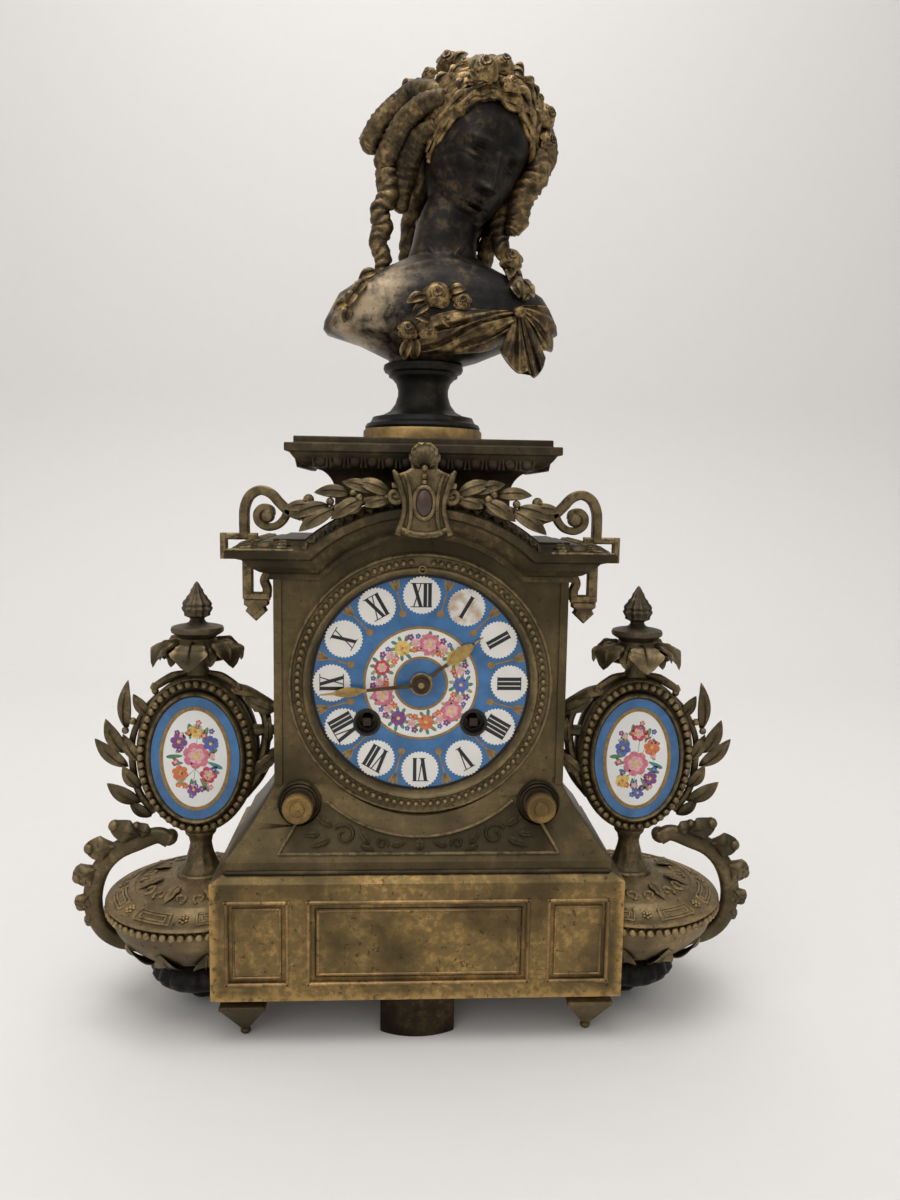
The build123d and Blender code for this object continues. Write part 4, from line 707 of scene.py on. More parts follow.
# dark ring round the dial's edge, just inside the bezel: painted shadow of the dial's recess
flatRing(drops, *dialSet["rim"], faceY + 0.1, 0.25, 1)
stained = coatMaterial("stained", (0.8, 0.775, 0.72), 0.16, 0.0, 0.08, 45.0)
tree = stained.node_tree
worst = onDial(30, dialSet["circle"])
near = rampNode(tree, awayFrom(tree, worst[0] - 1.0, worst[1] - 1.0), 0.0055, 0.0095, flip=True)
blotch = times(tree, near, rampNode(tree, noiseNode(tree, 150.0, 3.0), 0.36, 0.66))
overPaint(stained, times(tree, blotch, 0.75), (0.4, 0.24, 0.11))


# the winding holes stay open: what is painted over them draws back under the ferrules
holeSet = {"x": 20.4, "z": dz - 15.2, "reach": 4.75}


def clearHoles(piece):
    for i, (x, y, z) in enumerate(piece["v"]):
        for sx in (-1, 1):
            away = Vector((x / mm - sx * holeSet["x"], z / mm - holeSet["z"]))
            if away.length < holeSet["reach"]:
                away = away.normalized() * holeSet["reach"]
                piece["v"][i] = ((sx * holeSet["x"] + away.x) * mm, y, (holeSet["z"] + away.y) * mm)


for piece in (whites, letters, drops):
    clearHoles(piece)
makePiece("dial_whites", whites, [stained], sharp=30)
makePiece("dial_numerals", letters, [ink], sharp=30)
makePiece("dial_gilding", drops, [goldLine, ferrule], sharp=30)

# painted flowers, used on the dial ring and both plaques
paints = {
    "rose": (0.72, 0.2, 0.26), "blush": (0.82, 0.45, 0.46), "red": (0.6, 0.06, 0.07),
    "orange": (0.75, 0.2, 0.07), "yellow": (0.8, 0.55, 0.14), "violet": (0.24, 0.07, 0.26),
    "blue": (0.1, 0.14, 0.42), "leaf": (0.1, 0.26, 0.13), "teal": (0.08, 0.27, 0.24),
    "stem": (0.2, 0.27, 0.12), "sage": (0.36, 0.42, 0.2),
}
paintNames = list(paints)
greens = ("leaf", "teal", "stem", "sage")
paintMats = [coatMaterial("paint_" + n, c, 0.22, 0.0, 0.35, 900.0) for n, c in paints.items()]


def paintedFlower(piece, centre, radius, petals, colour, heart, y, turn=0.0):
    for k, a in enumerate(allRound(petals, turn)):
        petal = petalShape(centre, a, radius, radius * 0.95)
        addFlat(piece, petal, y, 0.05 + 0.012 * (k % 3), paintNames.index(colour))
    inner = paintNames.index("blush" if colour in ("rose", "red") else colour)
    for k, a in enumerate(allRound(petals - 1, turn + 0.5)):
        petal = petalShape(centre, a, radius * 0.62, radius * 0.6)
        addFlat(piece, petal, y, 0.1 + 0.01 * (k % 2), inner)
    addFlat(piece, disc(centre, radius * 0.22, 10), y, 0.14, paintNames.index(heart))


def paintedLeaf(piece, root, angle, long, wide, y, colour):
    addFlat(piece, petalShape(root, angle, long, wide), y, 0.04, paintNames.index(colour))


def paintedStem(piece, a, b, y):
    a, b = Vector(a), Vector(b)
    way = (b - a).normalized()
    n = Vector((-way.y, way.x)) * 0.22 / 2
    addFlat(piece, [a + n, b + n, b - n, a - n], y, 0.03, paintNames.index("stem"))


garland = newPiece()
garlandY = faceY - dialSet["proud"] * 0.6 + 0.02
garlandSet = {"out": 15.6, "start": 12.0, "rose": 4.3, "other": 3.1, "leaves": 9}
around = ["rose", "yellow", "blue", "rose", "orange", "violet", "rose", "red", "yellow"]
smallFlowers = [
    (15, 18.2, 1.4, "violet"), (17, 13.2, 1.3, "orange"), (20, 15.8, 1.8, "blush"), (24, 18.2, 1.1, "blue"),
    (24, 13.4, 1.1, "red"),
]
for k, colour in enumerate(around):
    angle = k * 40.0 + garlandSet["start"]
    mid = onDial(angle, garlandSet["out"] + (0.4 if k % 2 else -0.3))
    big = garlandSet["rose" if colour == "rose" else "other"]
    paintedStem(garland, onDial(angle - 18, 16.2), onDial(angle + 18, 15.2), garlandY)
    for j, lean in enumerate(allRound(garlandSet["leaves"], k)):
        root = (mid[0] + big * 0.55 * cos(lean), mid[1] + big * 0.55 * sin(lean))
        long = (2.3 if big > 4 else 3.0) + 0.3 * (j % 3)
        paintedLeaf(garland, root, lean + 0.3, long, 1.7, garlandY, greens[(j + k) % 4])
    heart = "yellow" if colour != "yellow" else "orange"
    paintedFlower(garland, mid, big, 7, colour, heart, garlandY, turn=k * 0.7)
    for da, out, size, c in smallFlowers:
        paintedFlower(garland, onDial(angle + da, out), size, 5, c, "yellow", garlandY, turn=da)
clearHoles(garland)
makePiece("dial_garland", garland, paintMats, sharp=30)

# bezel with its bead row
bezelSet = {"beads": 104, "circle": 46.4, "bead": (1.5, 1.15, 1.15), "y": -28.0}
bezel = newPiece()
bezelProfile = [
    (50, 0), (50, 1.2), (49.5, 1.75), (48.9, 1.75), (48.5, 1.2), (48.2, 1), (44.8, 0.9), (44.5, 1.5),
    (44, 1.75), (43.4, 1.6), (42.6, 0.6), (41.9, -0.9), (41.7, -2), (46, -2), (46, -9), (48, -9), (48, 0),
]
rings = []
for a in allRound(160):
    c, s = cos(a), sin(a)
    rings.append([(r * c * mm, (bezelSet["y"] - h) * mm, (dz + r * s) * mm) for r, h in bezelProfile])
addRings(bezel, rings, loop=True)
for a in allRound(bezelSet["beads"], pi / bezelSet["beads"]):
    # none beside the regulator hole
    if abs(a - pi / 2) < 0.04:
        continue
    c, s = cos(a), sin(a)
    spot = place(bezelSet["circle"] * c, bezelSet["y"] - 1.0, dz + bezelSet["circle"] * s)
    addBall(bezel, spot, bezelSet["bead"], facing=(-s, 0, c), sides=8)
addTurned(bezel, [(0, 0.2), (1.6, 0.2), (1.6, 1.9), (1.1, 1.9), (1.1, 0.9), (0, 0.9)],
          (0, bezelSet["y"], dz + 43.7), axis=(0, -1, 0), sides=16)
giltBezel = giltMaterial("giltBezel", (0.1, 0.075, 0.038), (0.165, 0.125, 0.062), (0.3, 0.215, 0.1),
                         patch=45.0, rub=(0.52, 0.6))
makePiece("dial_bezel_beaded", bezel, [giltBezel], nodes=["dial_bezel"])
print("dial done")


# case ornaments: brackets, cartouche, laurels, bosses, mouldings

bracketSet = {"bar": 3.6, "y0": -21.8, "y1": -18.2}
fret = newPiece()
y0, y1 = bracketSet["y0"], bracketSet["y1"]
loopLine = [
    (66.8, 191), (66.9, 197), (66.6, 202.5), (64.6, 206.9), (60.8, 208.9), (56.8, 207.6), (53.6, 204.2),
    (50.2, 201.2), (45.5, 199.4),
]
addBand(fret, loopLine, bracketSet["bar"], y0, y1, steps=40)
scrollLine = [
    (50.6, 201.6), (52, 198.4), (54.6, 195.9), (58.2, 195.2), (61.4, 197), (62, 200.2), (60, 202.4),
    (57.2, 201.8), (56.8, 199.6),
]
addBand(fret, scrollLine, 2.9, y0, y1, steps=44)
addTurned(fret, [(0, 0), (2.5, 0), (2.6, 3.2), (1.8, 4.2), (0, 4.4)], (58.2, y1, 199.3), axis=(0, -1, 0),
          sides=20)
# straight bars, each a little deeper or shallower than the one it crosses
fretBars = [
    ((62, 191.6), (75.8, 191.6), 2.5, 0.2, 0.2), ((74.6, 192.8), (74.6, 183.2), 2.5, 0.0, 0.0),
    ((75.8, 184.3), (68, 184.3), 2.5, 0.25, 0.25), ((65.8, 186), (65.8, 168), 3.8, 0.15, 0.15),
    ((67.2, 169), (57.6, 169), 3.0, -0.15, -0.1),
]
for start, end, wide, ahead, behind in fretBars:
    addBand(fret, [start, end], wide, y0 + ahead, y1 - behind)
addBand(fret, [(58.8, 168.6), (58.6, 172), (59.6, 175), (58.2, 177.6), (55, 178)], 3.2, y0, y1, steps=14)
addPlate(fret, [(58, 168), (67.2, 168), (67.2, 165.8), (65.8, 164.9), (66.6, 163.4), (62.6, 159.6),
                (58.6, 163.4), (59.4, 164.9), (58, 165.8)], y0 - 0.4, y1, 0.6)
makePiece("fret_brackets", joinPieces(fret, mirrorPiece(fret)), [giltOrnament], nodes=["scroll_brackets"])

crest = newPiece()
shield = [
    (4.6, 193), (8.9, 194.6), (8.2, 198), (7.4, 202.5), (7.6, 207), (8.8, 211.5), (9.9, 215.2),
    (6.5, 216.4), (4, 218),
]
addPlate(crest, [(0, 192.4)] + shield + [(-x, z) for x, z in shield[::-1]], -40.2, -37.0, 0.9)
for sx in (-1, 1):
    edge = [
        (9.4, -40, 193.8), (7.6, -40.4, 199.5), (7, -40.5, 204.5), (8.2, -40.4, 210), (9.8, -40.2, 214.4),
        (11, -39.8, 216.6),
    ]
    addTube(crest, [place(sx * x, y, z) for x, y, z in edge], [1.2, 1.0, 1.0, 1.2, 1.3, 0.6], steps=24)
    inner = [
        (6.2, -40.6, 194.4), (4.9, -40.9, 199), (4.7, -41, 205.5), (5.6, -40.8, 211.5), (7, -40.4, 215.4),
    ]
    addTube(crest, [place(sx * x, y, z) for x, y, z in inner], [0.7, 0.8, 0.7], sides=8, steps=20)
    # rolled side scroll that the laurel comes out of
    roll = []
    for k in range(22):
        a = k / 21 * 2.6 * pi
        r = 3.6 - 2.6 * k / 21
        roll.append(place(sx * (10.2 + r * cos(a + 1.2)), -38.4, 207.8 + r * sin(a + 1.2)))
    addTube(crest, roll, [1.2, 1.0, 0.8], sides=8)
    addTube(crest, [place(sx * 8.0, -40.2, 196.0), place(sx * 4.0, -40.9, 194.6), place(0, -41.1, 194.2)],
            [0.9, 0.7, 0.6], sides=8, steps=10)
for k in range(7):
    a = radians(-54 + 18 * k)
    root = place(sin(a) * 1.2, -39.6, 216.6 + cos(a) * 0.8)
    tip = place(sin(a) * 6.6, -39.2, 216.8 + cos(a) * 10.0)
    addLeaf(crest, root, tip, 3.3, 1.7, curl=0.08, rib=0.1, full=1.5)
addPlate(crest, [(-4.4, 216), (4.4, 216), (5.2, 221), (4.6, 224.5), (2.2, 226.6), (-2.2, 226.6),
                 (-4.6, 224.5), (-5.2, 221)], -39.2, -36.6, 0.8)
for z, r in ((214.6, 1.15), (212.6, 0.95), (217.6, 1.2)):
    addBall(crest, place(0, -40.9, z), r)
addOvalRing(crest, (0, 205.3), 3.4, 5.4, [(-0.5, -40.6), (-0.3, -41.5), (0.3, -41.7), (0.9, -41.3),
                                          (1.1, -40.4)], sides=40)
makePiece("crest", crest, [giltOrnament], nodes=["cartouche"])
stone = newPiece()
addBall(stone, place(0, -40.6, 205.3), (3.1, 5.1, 1.3), facing=(0, -1, 0), sides=24, rows=12)
makePiece("crest_stone", stone, [coatMaterial("brownStone", (0.085, 0.05, 0.036), 0.25, 0.1, 0.4, 600.0)])

laurel = newPiece()
laurelLeaves = [
    ((12, -36.2, 208), (24.4, -36, 212.6), 5.4), ((26, -34.8, 208), (39.6, -34, 208.2), 5.0),
    ((12.5, -37.4, 206), (21.4, -38.2, 203.6), 4.6), ((21.5, -37, 206.2), (33.2, -38, 198.8), 5.6),
    ((34, -35.8, 203.8), (48.2, -36.2, 199.2), 5.4), ((32, -36.8, 202.4), (44.6, -38, 194.2), 5.6),
    ((17.5, -35.6, 208.6), (29.6, -34.4, 212.2), 4.8), ((22, -37.4, 203.4), (30.5, -38.4, 200.8), 4.2),
    ((38, -35, 203.2), (50.6, -34.6, 202.4), 4.4),
]
addLeaves(laurel, laurelLeaves, place, 1.5, facing=(0, -0.9, 0.45), curl=0.1, rib=0.5, full=0.9)
laurelStem = [
    (8, -37.2, 207.4), (18, -36.6, 206.6), (28, -36.2, 204.4), (38, -35.8, 201), (44, -35.6, 198.6),
]
addTube(laurel, [place(*p) for p in laurelStem], [1.3, 1.1, 0.8], sides=8, steps=20)
for x, y, z in ((25.2, -36.8, 208.4), (16.0, -37.4, 208.4), (23.2, -37.8, 206.8), (33.6, -36.6, 205.2),
                (31.0, -37.2, 203.0), (41.4, -35.2, 205.8)):
    addBall(laurel, place(x, y, z), 1.5 if x < 40 else 2.0, sides=8)
makePiece("laurel_sprays", joinPieces(laurel, mirrorPiece(laurel)), [giltOrnament], nodes=["laurels"])

bosses = newPiece()
bossNeck = [
    (0, 0), (8.3, 0), (8.3, 1), (7.8, 1.7), (7.1, 1.3), (6.6, 1.9), (5.9, 1.5), (4.9, 1.7), (4.7, 6.4),
    (0, 6.4),
]
bossCap = [
    (0, 6), (4.8, 6), (5.5, 6.5), (5.75, 7.2), (5.75, 8.7), (5.4, 9.4), (4.4, 9.7), (3.7, 9.3), (2.9, 9.4),
    (2.5, 10.1), (1.5, 10.5), (0, 10.55),
]
bossSet = {"x": 45.6, "y": -29.0, "z": 91.4}
for sx in (-1, 1):
    spot = (sx * bossSet["x"], bossSet["y"], bossSet["z"])
    for mat, profile in enumerate((bossNeck, bossCap)):
        addTurned(bosses, profile, spot, axis=(0, -1, 0), sides=36, mat=mat)
giltBright = giltMaterial("giltBright", (0.15, 0.095, 0.036), (0.31, 0.195, 0.065), (0.52, 0.34, 0.11),
                          patch=70.0)
makePiece("corner_boss_caps", bosses, [giltDull, giltBright], nodes=["corner_bosses"])

# egg and dart round the top plinth
eggs = newPiece()
eggSet = {"pitch": 6.25, "z": 219.9, "size": (2.35, 2.7, 1.7), "front": (13, 32.4), "side": (9, 45.4)}


# front and back rows run along x, the side rows along y
def onRow(alongX, s, o, z):
    return (s, o, z) if alongX else (o, s, z)


for alongX, (count, out) in ((True, eggSet["front"]), (False, eggSet["side"])):
    for side in (-1, 1):
        for k in range(count):
            s = (k - (count - 1) / 2) * eggSet["pitch"]
            spot = place(*onRow(alongX, s, side * out, eggSet["z"]))
            addBall(eggs, spot, eggSet["size"], facing=onRow(alongX, 0, side, -0.35), sides=12, rows=8)
            for d in (-1, 1):
                hoop = []
                for j in range(7):
                    ds = d * (2.75 - 0.5 * (j / 6))
                    z = eggSet["z"] + 2.6 - 5.0 * j / 6
                    o = out + 0.7 + 1.0 * (1 - j / 6)
                    hoop.append(place(*onRow(alongX, s + ds, side * o, z)))
                addTube(eggs, hoop, [0.42, 0.42], sides=6, side=onRow(alongX, 1, 0, 0))
makePiece("egg_moulding", eggs, [giltDull])

# egg, leaves and lip lying on the cornice slopes
slopes = newPiece()
slopeSet = {
    "high": 190.4, "front": -30.3, "fall": 0.42, "side": 60.0, "sideHigh": 190.2, "sideFall": 0.27,
    "lip": -37.4,
}
slopeLeaves = [
    ((60.2, -33.2), (69, -36.2), 3.6), ((60.2, -35.4), (68.4, -37), 2.6), ((60.4, -31.8), (66, -34), 2.8),
    ((54, -33.6), (47, -33.4), 3.6), ((54, -35.6), (47.4, -36.4), 2.8), ((53.6, -31.8), (48, -31.2), 2.6),
]


def onSlope(x, y, out=0.1):
    front = slopeSet["high"] + slopeSet["fall"] * (y - slopeSet["front"])
    side = slopeSet["sideHigh"] - slopeSet["sideFall"] * (abs(x) - slopeSet["side"])
    return place(x, y, min(front, side) + out)


for sx in (-1, 1):
    addTube(slopes, [onSlope(sx * x, slopeSet["lip"], 0.15) for x in (70.4, 62.0, 54.0, 46.8)], [0.5, 0.5],
            sides=8)
    addBall(slopes, onSlope(sx * 57.2, -34.0), (3.0, 2.2, 1.4), facing=(0, -0.39, 0.92), sides=16, rows=10)
    addLeaves(slopes, slopeLeaves, lambda x, y: onSlope(sx * x, y), 0.9, facing=(0, -0.4, 1), curl=0.05,
              lobes=3)
    for k in range(13):
        y = -28.7 + k * 4.3
        addLeaf(slopes, onSlope(sx * 60.5, y), onSlope(sx * 70.0, y), 4.6, 0.9, facing=(sx * 0.4, 0, 1),
                curl=0.05, lobes=3)
# leaves along the arch, without the middle ones where the crest stands
archSet = {"z": 140.9, "step": 3.5, "root": (65.0, -31.0, 65.4), "tip": (62.6, -37.2, 62.9)}
for k in range(-12, 13):
    if abs(k) < 2:
        continue
    a = radians(archSet["step"] * k)
    c, s = cos(a), sin(a)
    root, tip = [place(x * s, y, archSet["z"] + z * c) for x, y, z in (archSet["root"], archSet["tip"])]
    addLeaf(slopes, root, tip, 4.0, 0.8, facing=(s, -0.4, c), curl=0.08, lobes=3)
makePiece("cornice_leaves", slopes, [giltOrnament])


flareSet = {"low": 71.0, "tall": 27.0, "front": 38.35, "rake": 12.4, "hollow": 2.2}


# place on the face of the flared apron
def onFlare(x, z):
    t = (z - flareSet["low"]) / flareSet["tall"]
    return place(x, -(flareSet["front"] - flareSet["rake"] * t + flareSet["hollow"] * t * t), z)


# its line frame: foot line and raking ends up to the bosses, arc round the dial above
apronSet = {"foot": (52.8, 73.9), "top": (46.6, 84.2), "arc": 57.2, "turn": 38.5}
apronFrame = newPiece()
foot, top = Vector(apronSet["foot"]), Vector(apronSet["top"])
rake = [foot.lerp(top, k / 8) for k in range(9)]
lines = [[(foot.x * (k / 10 - 1), foot.y) for k in range(21)]]
lines += [[(sx * p.x, p.y) for p in rake] for sx in (-1, 1)]
turns = [radians(apronSet["turn"]) * (k / 16 - 1) for k in range(33)]
lines.append([(apronSet["arc"] * sin(a), dz - apronSet["arc"] * cos(a)) for a in turns])
for line in lines:
    addTube(apronFrame, [onFlare(x, z) for x, z in line], [0.6, 0.6], sides=8, steps=60)
makePiece("apron_frame", apronFrame, [giltOrnament])

# scrolls and leaves in low relief inside it
relief = newPiece()
reliefLeaves = [
    ((19, 77), (23.2, 82.6), 2.8), ((33.6, 79), (41.5, 76.2), 2.8), ((33, 83.4), (39, 86.6), 2.8),
    ((10.6, 76.4), (4.6, 78.2), 2.2), ((37.6, 80.6), (44.4, 80.4), 2.6), ((22.4, 76.6), (16.4, 75), 1.8),
]
for sx in (-1, 1):
    for at, size, start, wind in (((28.5, 80.4), 4.5, 0.6, 2.3), ((14.2, 77.4), 2.4, 3.6, -2.2)):
        tendril = []
        for k in range(40):
            t = k / 39
            a = start + t * wind * pi
            r = size * (1 - 0.75 * t)
            tendril.append(onFlare(sx * (at[0] + r * cos(a)), at[1] + r * 0.85 * sin(a)))
        addTube(relief, tendril, [0.13 * size + 0.2, 0.6, 0.45], sides=6)
    addLeaves(relief, reliefLeaves, lambda x, z: onFlare(sx * x, z), 0.6, facing=(0, -1, 0.35), curl=0.03,
              lobes=3)
addLeaf(relief, onFlare(0, 75.0), onFlare(0, 79.2), 3.4, 0.7, facing=(0, -1, 0.35), curl=0.03, lobes=3)
makePiece("apron_relief", relief, [giltCase])

# panel frames and fields of the base, bead along the ledge
panelSet = {"low": 25.0, "high": 57.0, "y": -42.0, "side": (49.05, 71.55), "centre": (-41.25, 41.25)}
frames, fields = newPiece(), newPiece()


def addFrame(x0, x1, z0, z1, wide, y0, y1):
    h = wide / 2
    bars = [[(x0 - h, z), (x1 + h, z)] for z in (z0, z1)] + [[(x, z0 - h), (x, z1 + h)] for x in (x0, x1)]
    for bar in bars:
        addBand(frames, bar, wide, y0, y1, ease=wide * 0.3)


for x0, x1 in (panelSet["side"], panelSet["centre"], (-panelSet["side"][1], -panelSet["side"][0])):
    inset = 3.6 if x1 - x0 > 40 else 2.6
    low, high, y = panelSet["low"], panelSet["high"], panelSet["y"]
    addFrame(x0, x1, low, high, 1.5, y - 0.55, y + 1.2)
    x0, x1, low, high = x0 + inset, x1 - inset, low + inset, high - inset
    addFrame(x0, x1, low, high, 0.9, y + 0.2, y + 1.6)
    addPlate(fields, [(x0, low), (x1, low), (x1, high), (x0, high)], y + 0.75, y + 1.6, 0.1,
             mat=0 if inset > 3 else 1)
makePiece("base_frames", frames, [giltEdge])
makePiece("base_fields", fields, [giltPanel, giltBase])
bead = newPiece()
corners = [(72.6, 37), (72.6, -37.6), (72, -38.4), (-72, -38.4), (-72.6, -37.6), (-72.6, 37)]
addTube(bead, [place(x, y, 67.2) for x, y in corners], [0.85, 0.85], sides=10)
makePiece("ledge_bead", bead, [giltDull])

# stepped corner feet ending in a small ball
feet = newPiece()
footRows = [
    (6.2, 18.2), (5.9, 16.4), (7.2, 15.9), (8.7, 15.3), (8.75, 13.9), (8, 13.2), (5.7, 9.6), (3.5, 6),
    (1.8, 3.3), (1.3, 2.6), (1.2, 2),
]
footSet = {"x": 66.3, "y": 32.2, "ball": (2.0, 2.0, 1.45)}
square = ((1, 1), (-1, 1), (-1, -1), (1, -1))
for sx, sy in ((-1, -1), (-1, 1), (1, -1), (1, 1)):
    x, y = sx * footSet["x"], sy * footSet["y"]
    addRings(feet, [[place(x + h * cx, y + h * cy, z) for cx, cy in square] for h, z in footRows])
    addBall(feet, place(x, y, footSet["ball"][2]), footSet["ball"], sides=16, rows=10)
feetCast = makePiece("corner_foot_casts", feet, [giltCase], nodes=["corner_feet"], sharp=30)
softEdge(feetCast, 0.35, 30)
print("case ornaments done")


# side urns, built on the right and mirrored

urnSet = {"x": 88.5, "y": -4.0, "caseSide": 77.8, "mid": (88.5, 103.8), "half": 23.6, "tall": 32.0}
ux, uy = urnSet["x"], urnSet["y"]
urnSpot = (ux, uy, 0)


# place round the urn's axis
def onUrn(r, a, z):
    return place(ux + r * cos(a), uy + r * sin(a), z)


# flat where the piece stands against the case
def clipPiece(piece, low):
    for i, (x, y, z) in enumerate(piece["v"]):
        if z > low * mm:
            piece["v"][i] = (max(x, urnSet["caseSide"] * mm), y, z)


bun = newPiece()


def gadroon(r, h, a):
    grow = 0.06 * abs(sin(9 * a)) * max(0.0, 1.0 - abs(h - 14.6) / 7.0) if r > 9 else 0.0
    return r * (0.97 + grow), h


bunProfile = [
    (0, 0), (2.2, 0), (4.4, 1), (6, 3), (6.5, 5.6), (6.2, 8.2), (10, 8.3), (14, 8.6), (17.2, 10),
    (19.3, 12.2), (20, 14.6), (19.4, 17), (17.8, 19.2), (15.2, 20.9), (0, 21),
]
addTurned(bun, bunProfile, urnSpot, sides=108, wave=gadroon)
clipPiece(bun, 18.25)

bowl = newPiece()
bowlProfile = [
    (0, 21), (15.6, 21), (17.5, 22.3), (19.5, 23), (22.5, 24.4), (27, 27.4), (31.2, 31.4), (33.6, 35),
    (34.8, 38.2), (35.1, 39.8), (35.5, 41), (35.7, 44.6), (36.9, 44.9), (37.3, 45.4), (37, 46),
    (35.8, 46.5), (34.8, 46.3), (28.2, 49.2), (27.2, 50.2), (26.4, 50.3), (25.6, 49.6), (19, 51.6),
    (12.5, 52.7), (11.3, 53), (0, 53),
]
addTurned(bowl, bowlProfile, urnSpot, sides=96)
rimSet = {"beads": 68, "circle": 36.2, "z": 42.8, "bead": 1.6}
for a in allRound(rimSet["beads"]):
    addBall(bowl, onUrn(rimSet["circle"], a, rimSet["z"]), rimSet["bead"], sides=8)
# leaves under the rim
for a in allRound(12, pi / 12):
    c, s = cos(a), sin(a)
    addLeaf(bowl, onUrn(20.0, a, 23.2), onUrn(33.4, a, 35.0), 9.5, 0.8, facing=(c * 0.7, s * 0.7, -0.8),
            curl=0.12, rib=0.8, full=0.9)


# place on the dome's slope
def onDome(r, a, out=0.1):
    z = 46.2 + (34.8 - r) * 3.0 / 6.6 if r > 28.2 else 49.6 + (25.6 - r) * 0.3
    return onUrn(r, a, z + out)


# strapwork and rosettes on the outer slope, leaves and scrolls on the inner one
domeSet = {"around": 8, "rosette": 31.4, "petal": 1.35, "scroll": 21.2}
for mid in allRound(domeSet["around"], pi / domeSet["around"]):
    for near, far, span in ((29.3, 33.7, 0.23), (30.4, 32.6, 0.17)):
        strap = [onDome(near, mid - span)] + [onDome(far, mid + span * (i / 4 - 1)) for i in range(9)]
        strap += [onDome(near, mid + span * (1 - i / 4)) for i in range(9)]
        addTube(bowl, strap, [0.5, 0.5], sides=6, steps=70, side=(0, 0, 1))
    between, r = mid + pi / domeSet["around"], domeSet["rosette"]
    for w in allRound(6):
        petal = onDome(r + domeSet["petal"] * cos(w), between + domeSet["petal"] * sin(w) / r)
        addBall(bowl, petal, (0.85, 0.85, 0.7), sides=8)
    addBall(bowl, onDome(r, between, 0.4), 0.75, sides=8)
    c, s = cos(mid), sin(mid)
    addLeaf(bowl, onDome(14.5, mid), onDome(25.0, mid), 5.0, 0.8, facing=(c * 0.3, s * 0.3, 1), curl=0.02,
            lobes=3)
    for flip in (-1, 1):
        scroll = []
        for i in range(26):
            t = i / 25
            w = 0.4 + 1.8 * pi * t
            size = 2.8 - 2.0 * t
            side = flip * (0.21 + size * sin(w) / 22.0)
            scroll.append(onDome(domeSet["scroll"] + size * cos(w), mid + side))
        addTube(bowl, scroll, [0.7, 0.75, 0.55], sides=6, side=(0, 0, 1))
clipPiece(bowl, 0)

stem = newPiece()


def fluted(r, h, a):
    soft = max(0.0, 1.0 - abs(h - 60.0) / 7.0)
    return r * (1.0 + 0.07 * soft * cos(10 * a)), h


stemProfile = [
    (0, 53), (9.8, 53), (9.8, 54.2), (9.2, 54.9), (8.4, 55), (8, 55.8), (7.4, 56.4), (6.3, 58), (5.4, 60.4),
    (4.7, 63.4), (4.3, 66), (4.9, 68.8), (6.1, 70.2), (6.3, 71.4), (5.6, 72.2), (5.4, 77), (0, 77),
]
addTurned(stem, stemProfile, urnSpot, sides=40, wave=fluted)

# medallion drum with bead row, oval lip and plaque seat
medal = newPiece()
mid, half, tall = urnSet["mid"], urnSet["half"], urnSet["tall"]


# oval set off outward from the medallion's edge
def ovalLine(off, y):
    spots = []
    for t in allRound(72):
        nx, nz = cos(t) / half, sin(t) / tall
        size = hypot(nx, nz)
        x, z = mid[0] + half * cos(t) + nx / size * off, mid[1] + tall * sin(t) + nz / size * off
        spots.append((x * mm, y * mm, z * mm))
    return spots


drum = [
    (-9, 5), (-4, 4.6), (-1.2, 3.2), (0, 0.8), (0, -3), (-0.7, -4.4), (-0.7, -6.4), (0.1, -7.6), (0, -9.4),
    (-0.9, -10.6), (-1.4, -10.6), (-1.7, -10.2), (-4.6, -10.4), (-4.7, -8.7),
]
addRings(medal, [ovalLine(o, y) for o, y in drum])
plaqueAt = (ux, 103.0)
seat = [(0.15, -8.7), (0.15, -11.6), (0.5, -12.5), (1.1, -12.9), (1.8, -12.4), (2.3, -11), (2.3, -8.7)]
addOvalRing(medal, plaqueAt, 17.3, 24.8, seat)
for x, z in ovalSpots((mid[0], mid[1] - 0.3), 21.4, 29.4, 3.15):
    addBall(medal, place(x, -11.4, z), 1.5, sides=9)
# olive spray on the outer side
sprayLeaves = [
    ((116.8, -5, 113), (115.2, -5.6, 133.6), 5.6), ((117, -6.2, 103.6), (124.4, -6.4, 118), 6.4),
    ((116.6, -4.6, 97.6), (129.6, -4.2, 109.4), 6.0), ((111.4, -6.4, 83.4), (124.8, -6, 91.4), 6.2),
    ((110.5, -8.2, 101), (117.5, -7.4, 112), 5.4), ((110.8, -8, 90), (118, -7.6, 99), 5.6),
    ((106, -8, 119), (113.4, -6.6, 128), 5.0), ((107, -7.6, 78), (116, -6.6, 84), 4.6),
]
addLeaves(medal, sprayLeaves, place, 1.6, facing=(0.25, -1, 0.1), curl=0.1, rib=0.5, full=0.9)
sprayStem = [
    (106.5, -6, 79), (112.5, -6, 88), (114.5, -6.2, 99), (114.2, -6.2, 110), (109.5, -6.6, 121),
    (103.5, -6.8, 128),
]
addTube(medal, [place(*p) for p in sprayStem], [1.6, 1.5, 1.3, 1.0], sides=8, steps=26)
for x, z in ((116.6, 113.4), (116.4, 94.4), (113.6, 117.2), (104.6, 129.4), (72.6, 130.2)):
    addBall(medal, place(x, -7.6, z), 1.5, sides=8)
# volutes under the canopy
for sx in (-1, 1):
    horn = [(4.5, -5, 136.2), (9.5, -6, 135), (14.5, -7, 132.2), (16.8, -8, 130.6), (16.2, -8.4, 132.6)]
    addTube(medal, [place(ux + sx * x, y, z) for x, y, z in horn], [1.3, 1.8, 1.6, 1.2, 0.8], sides=8,
            steps=20)

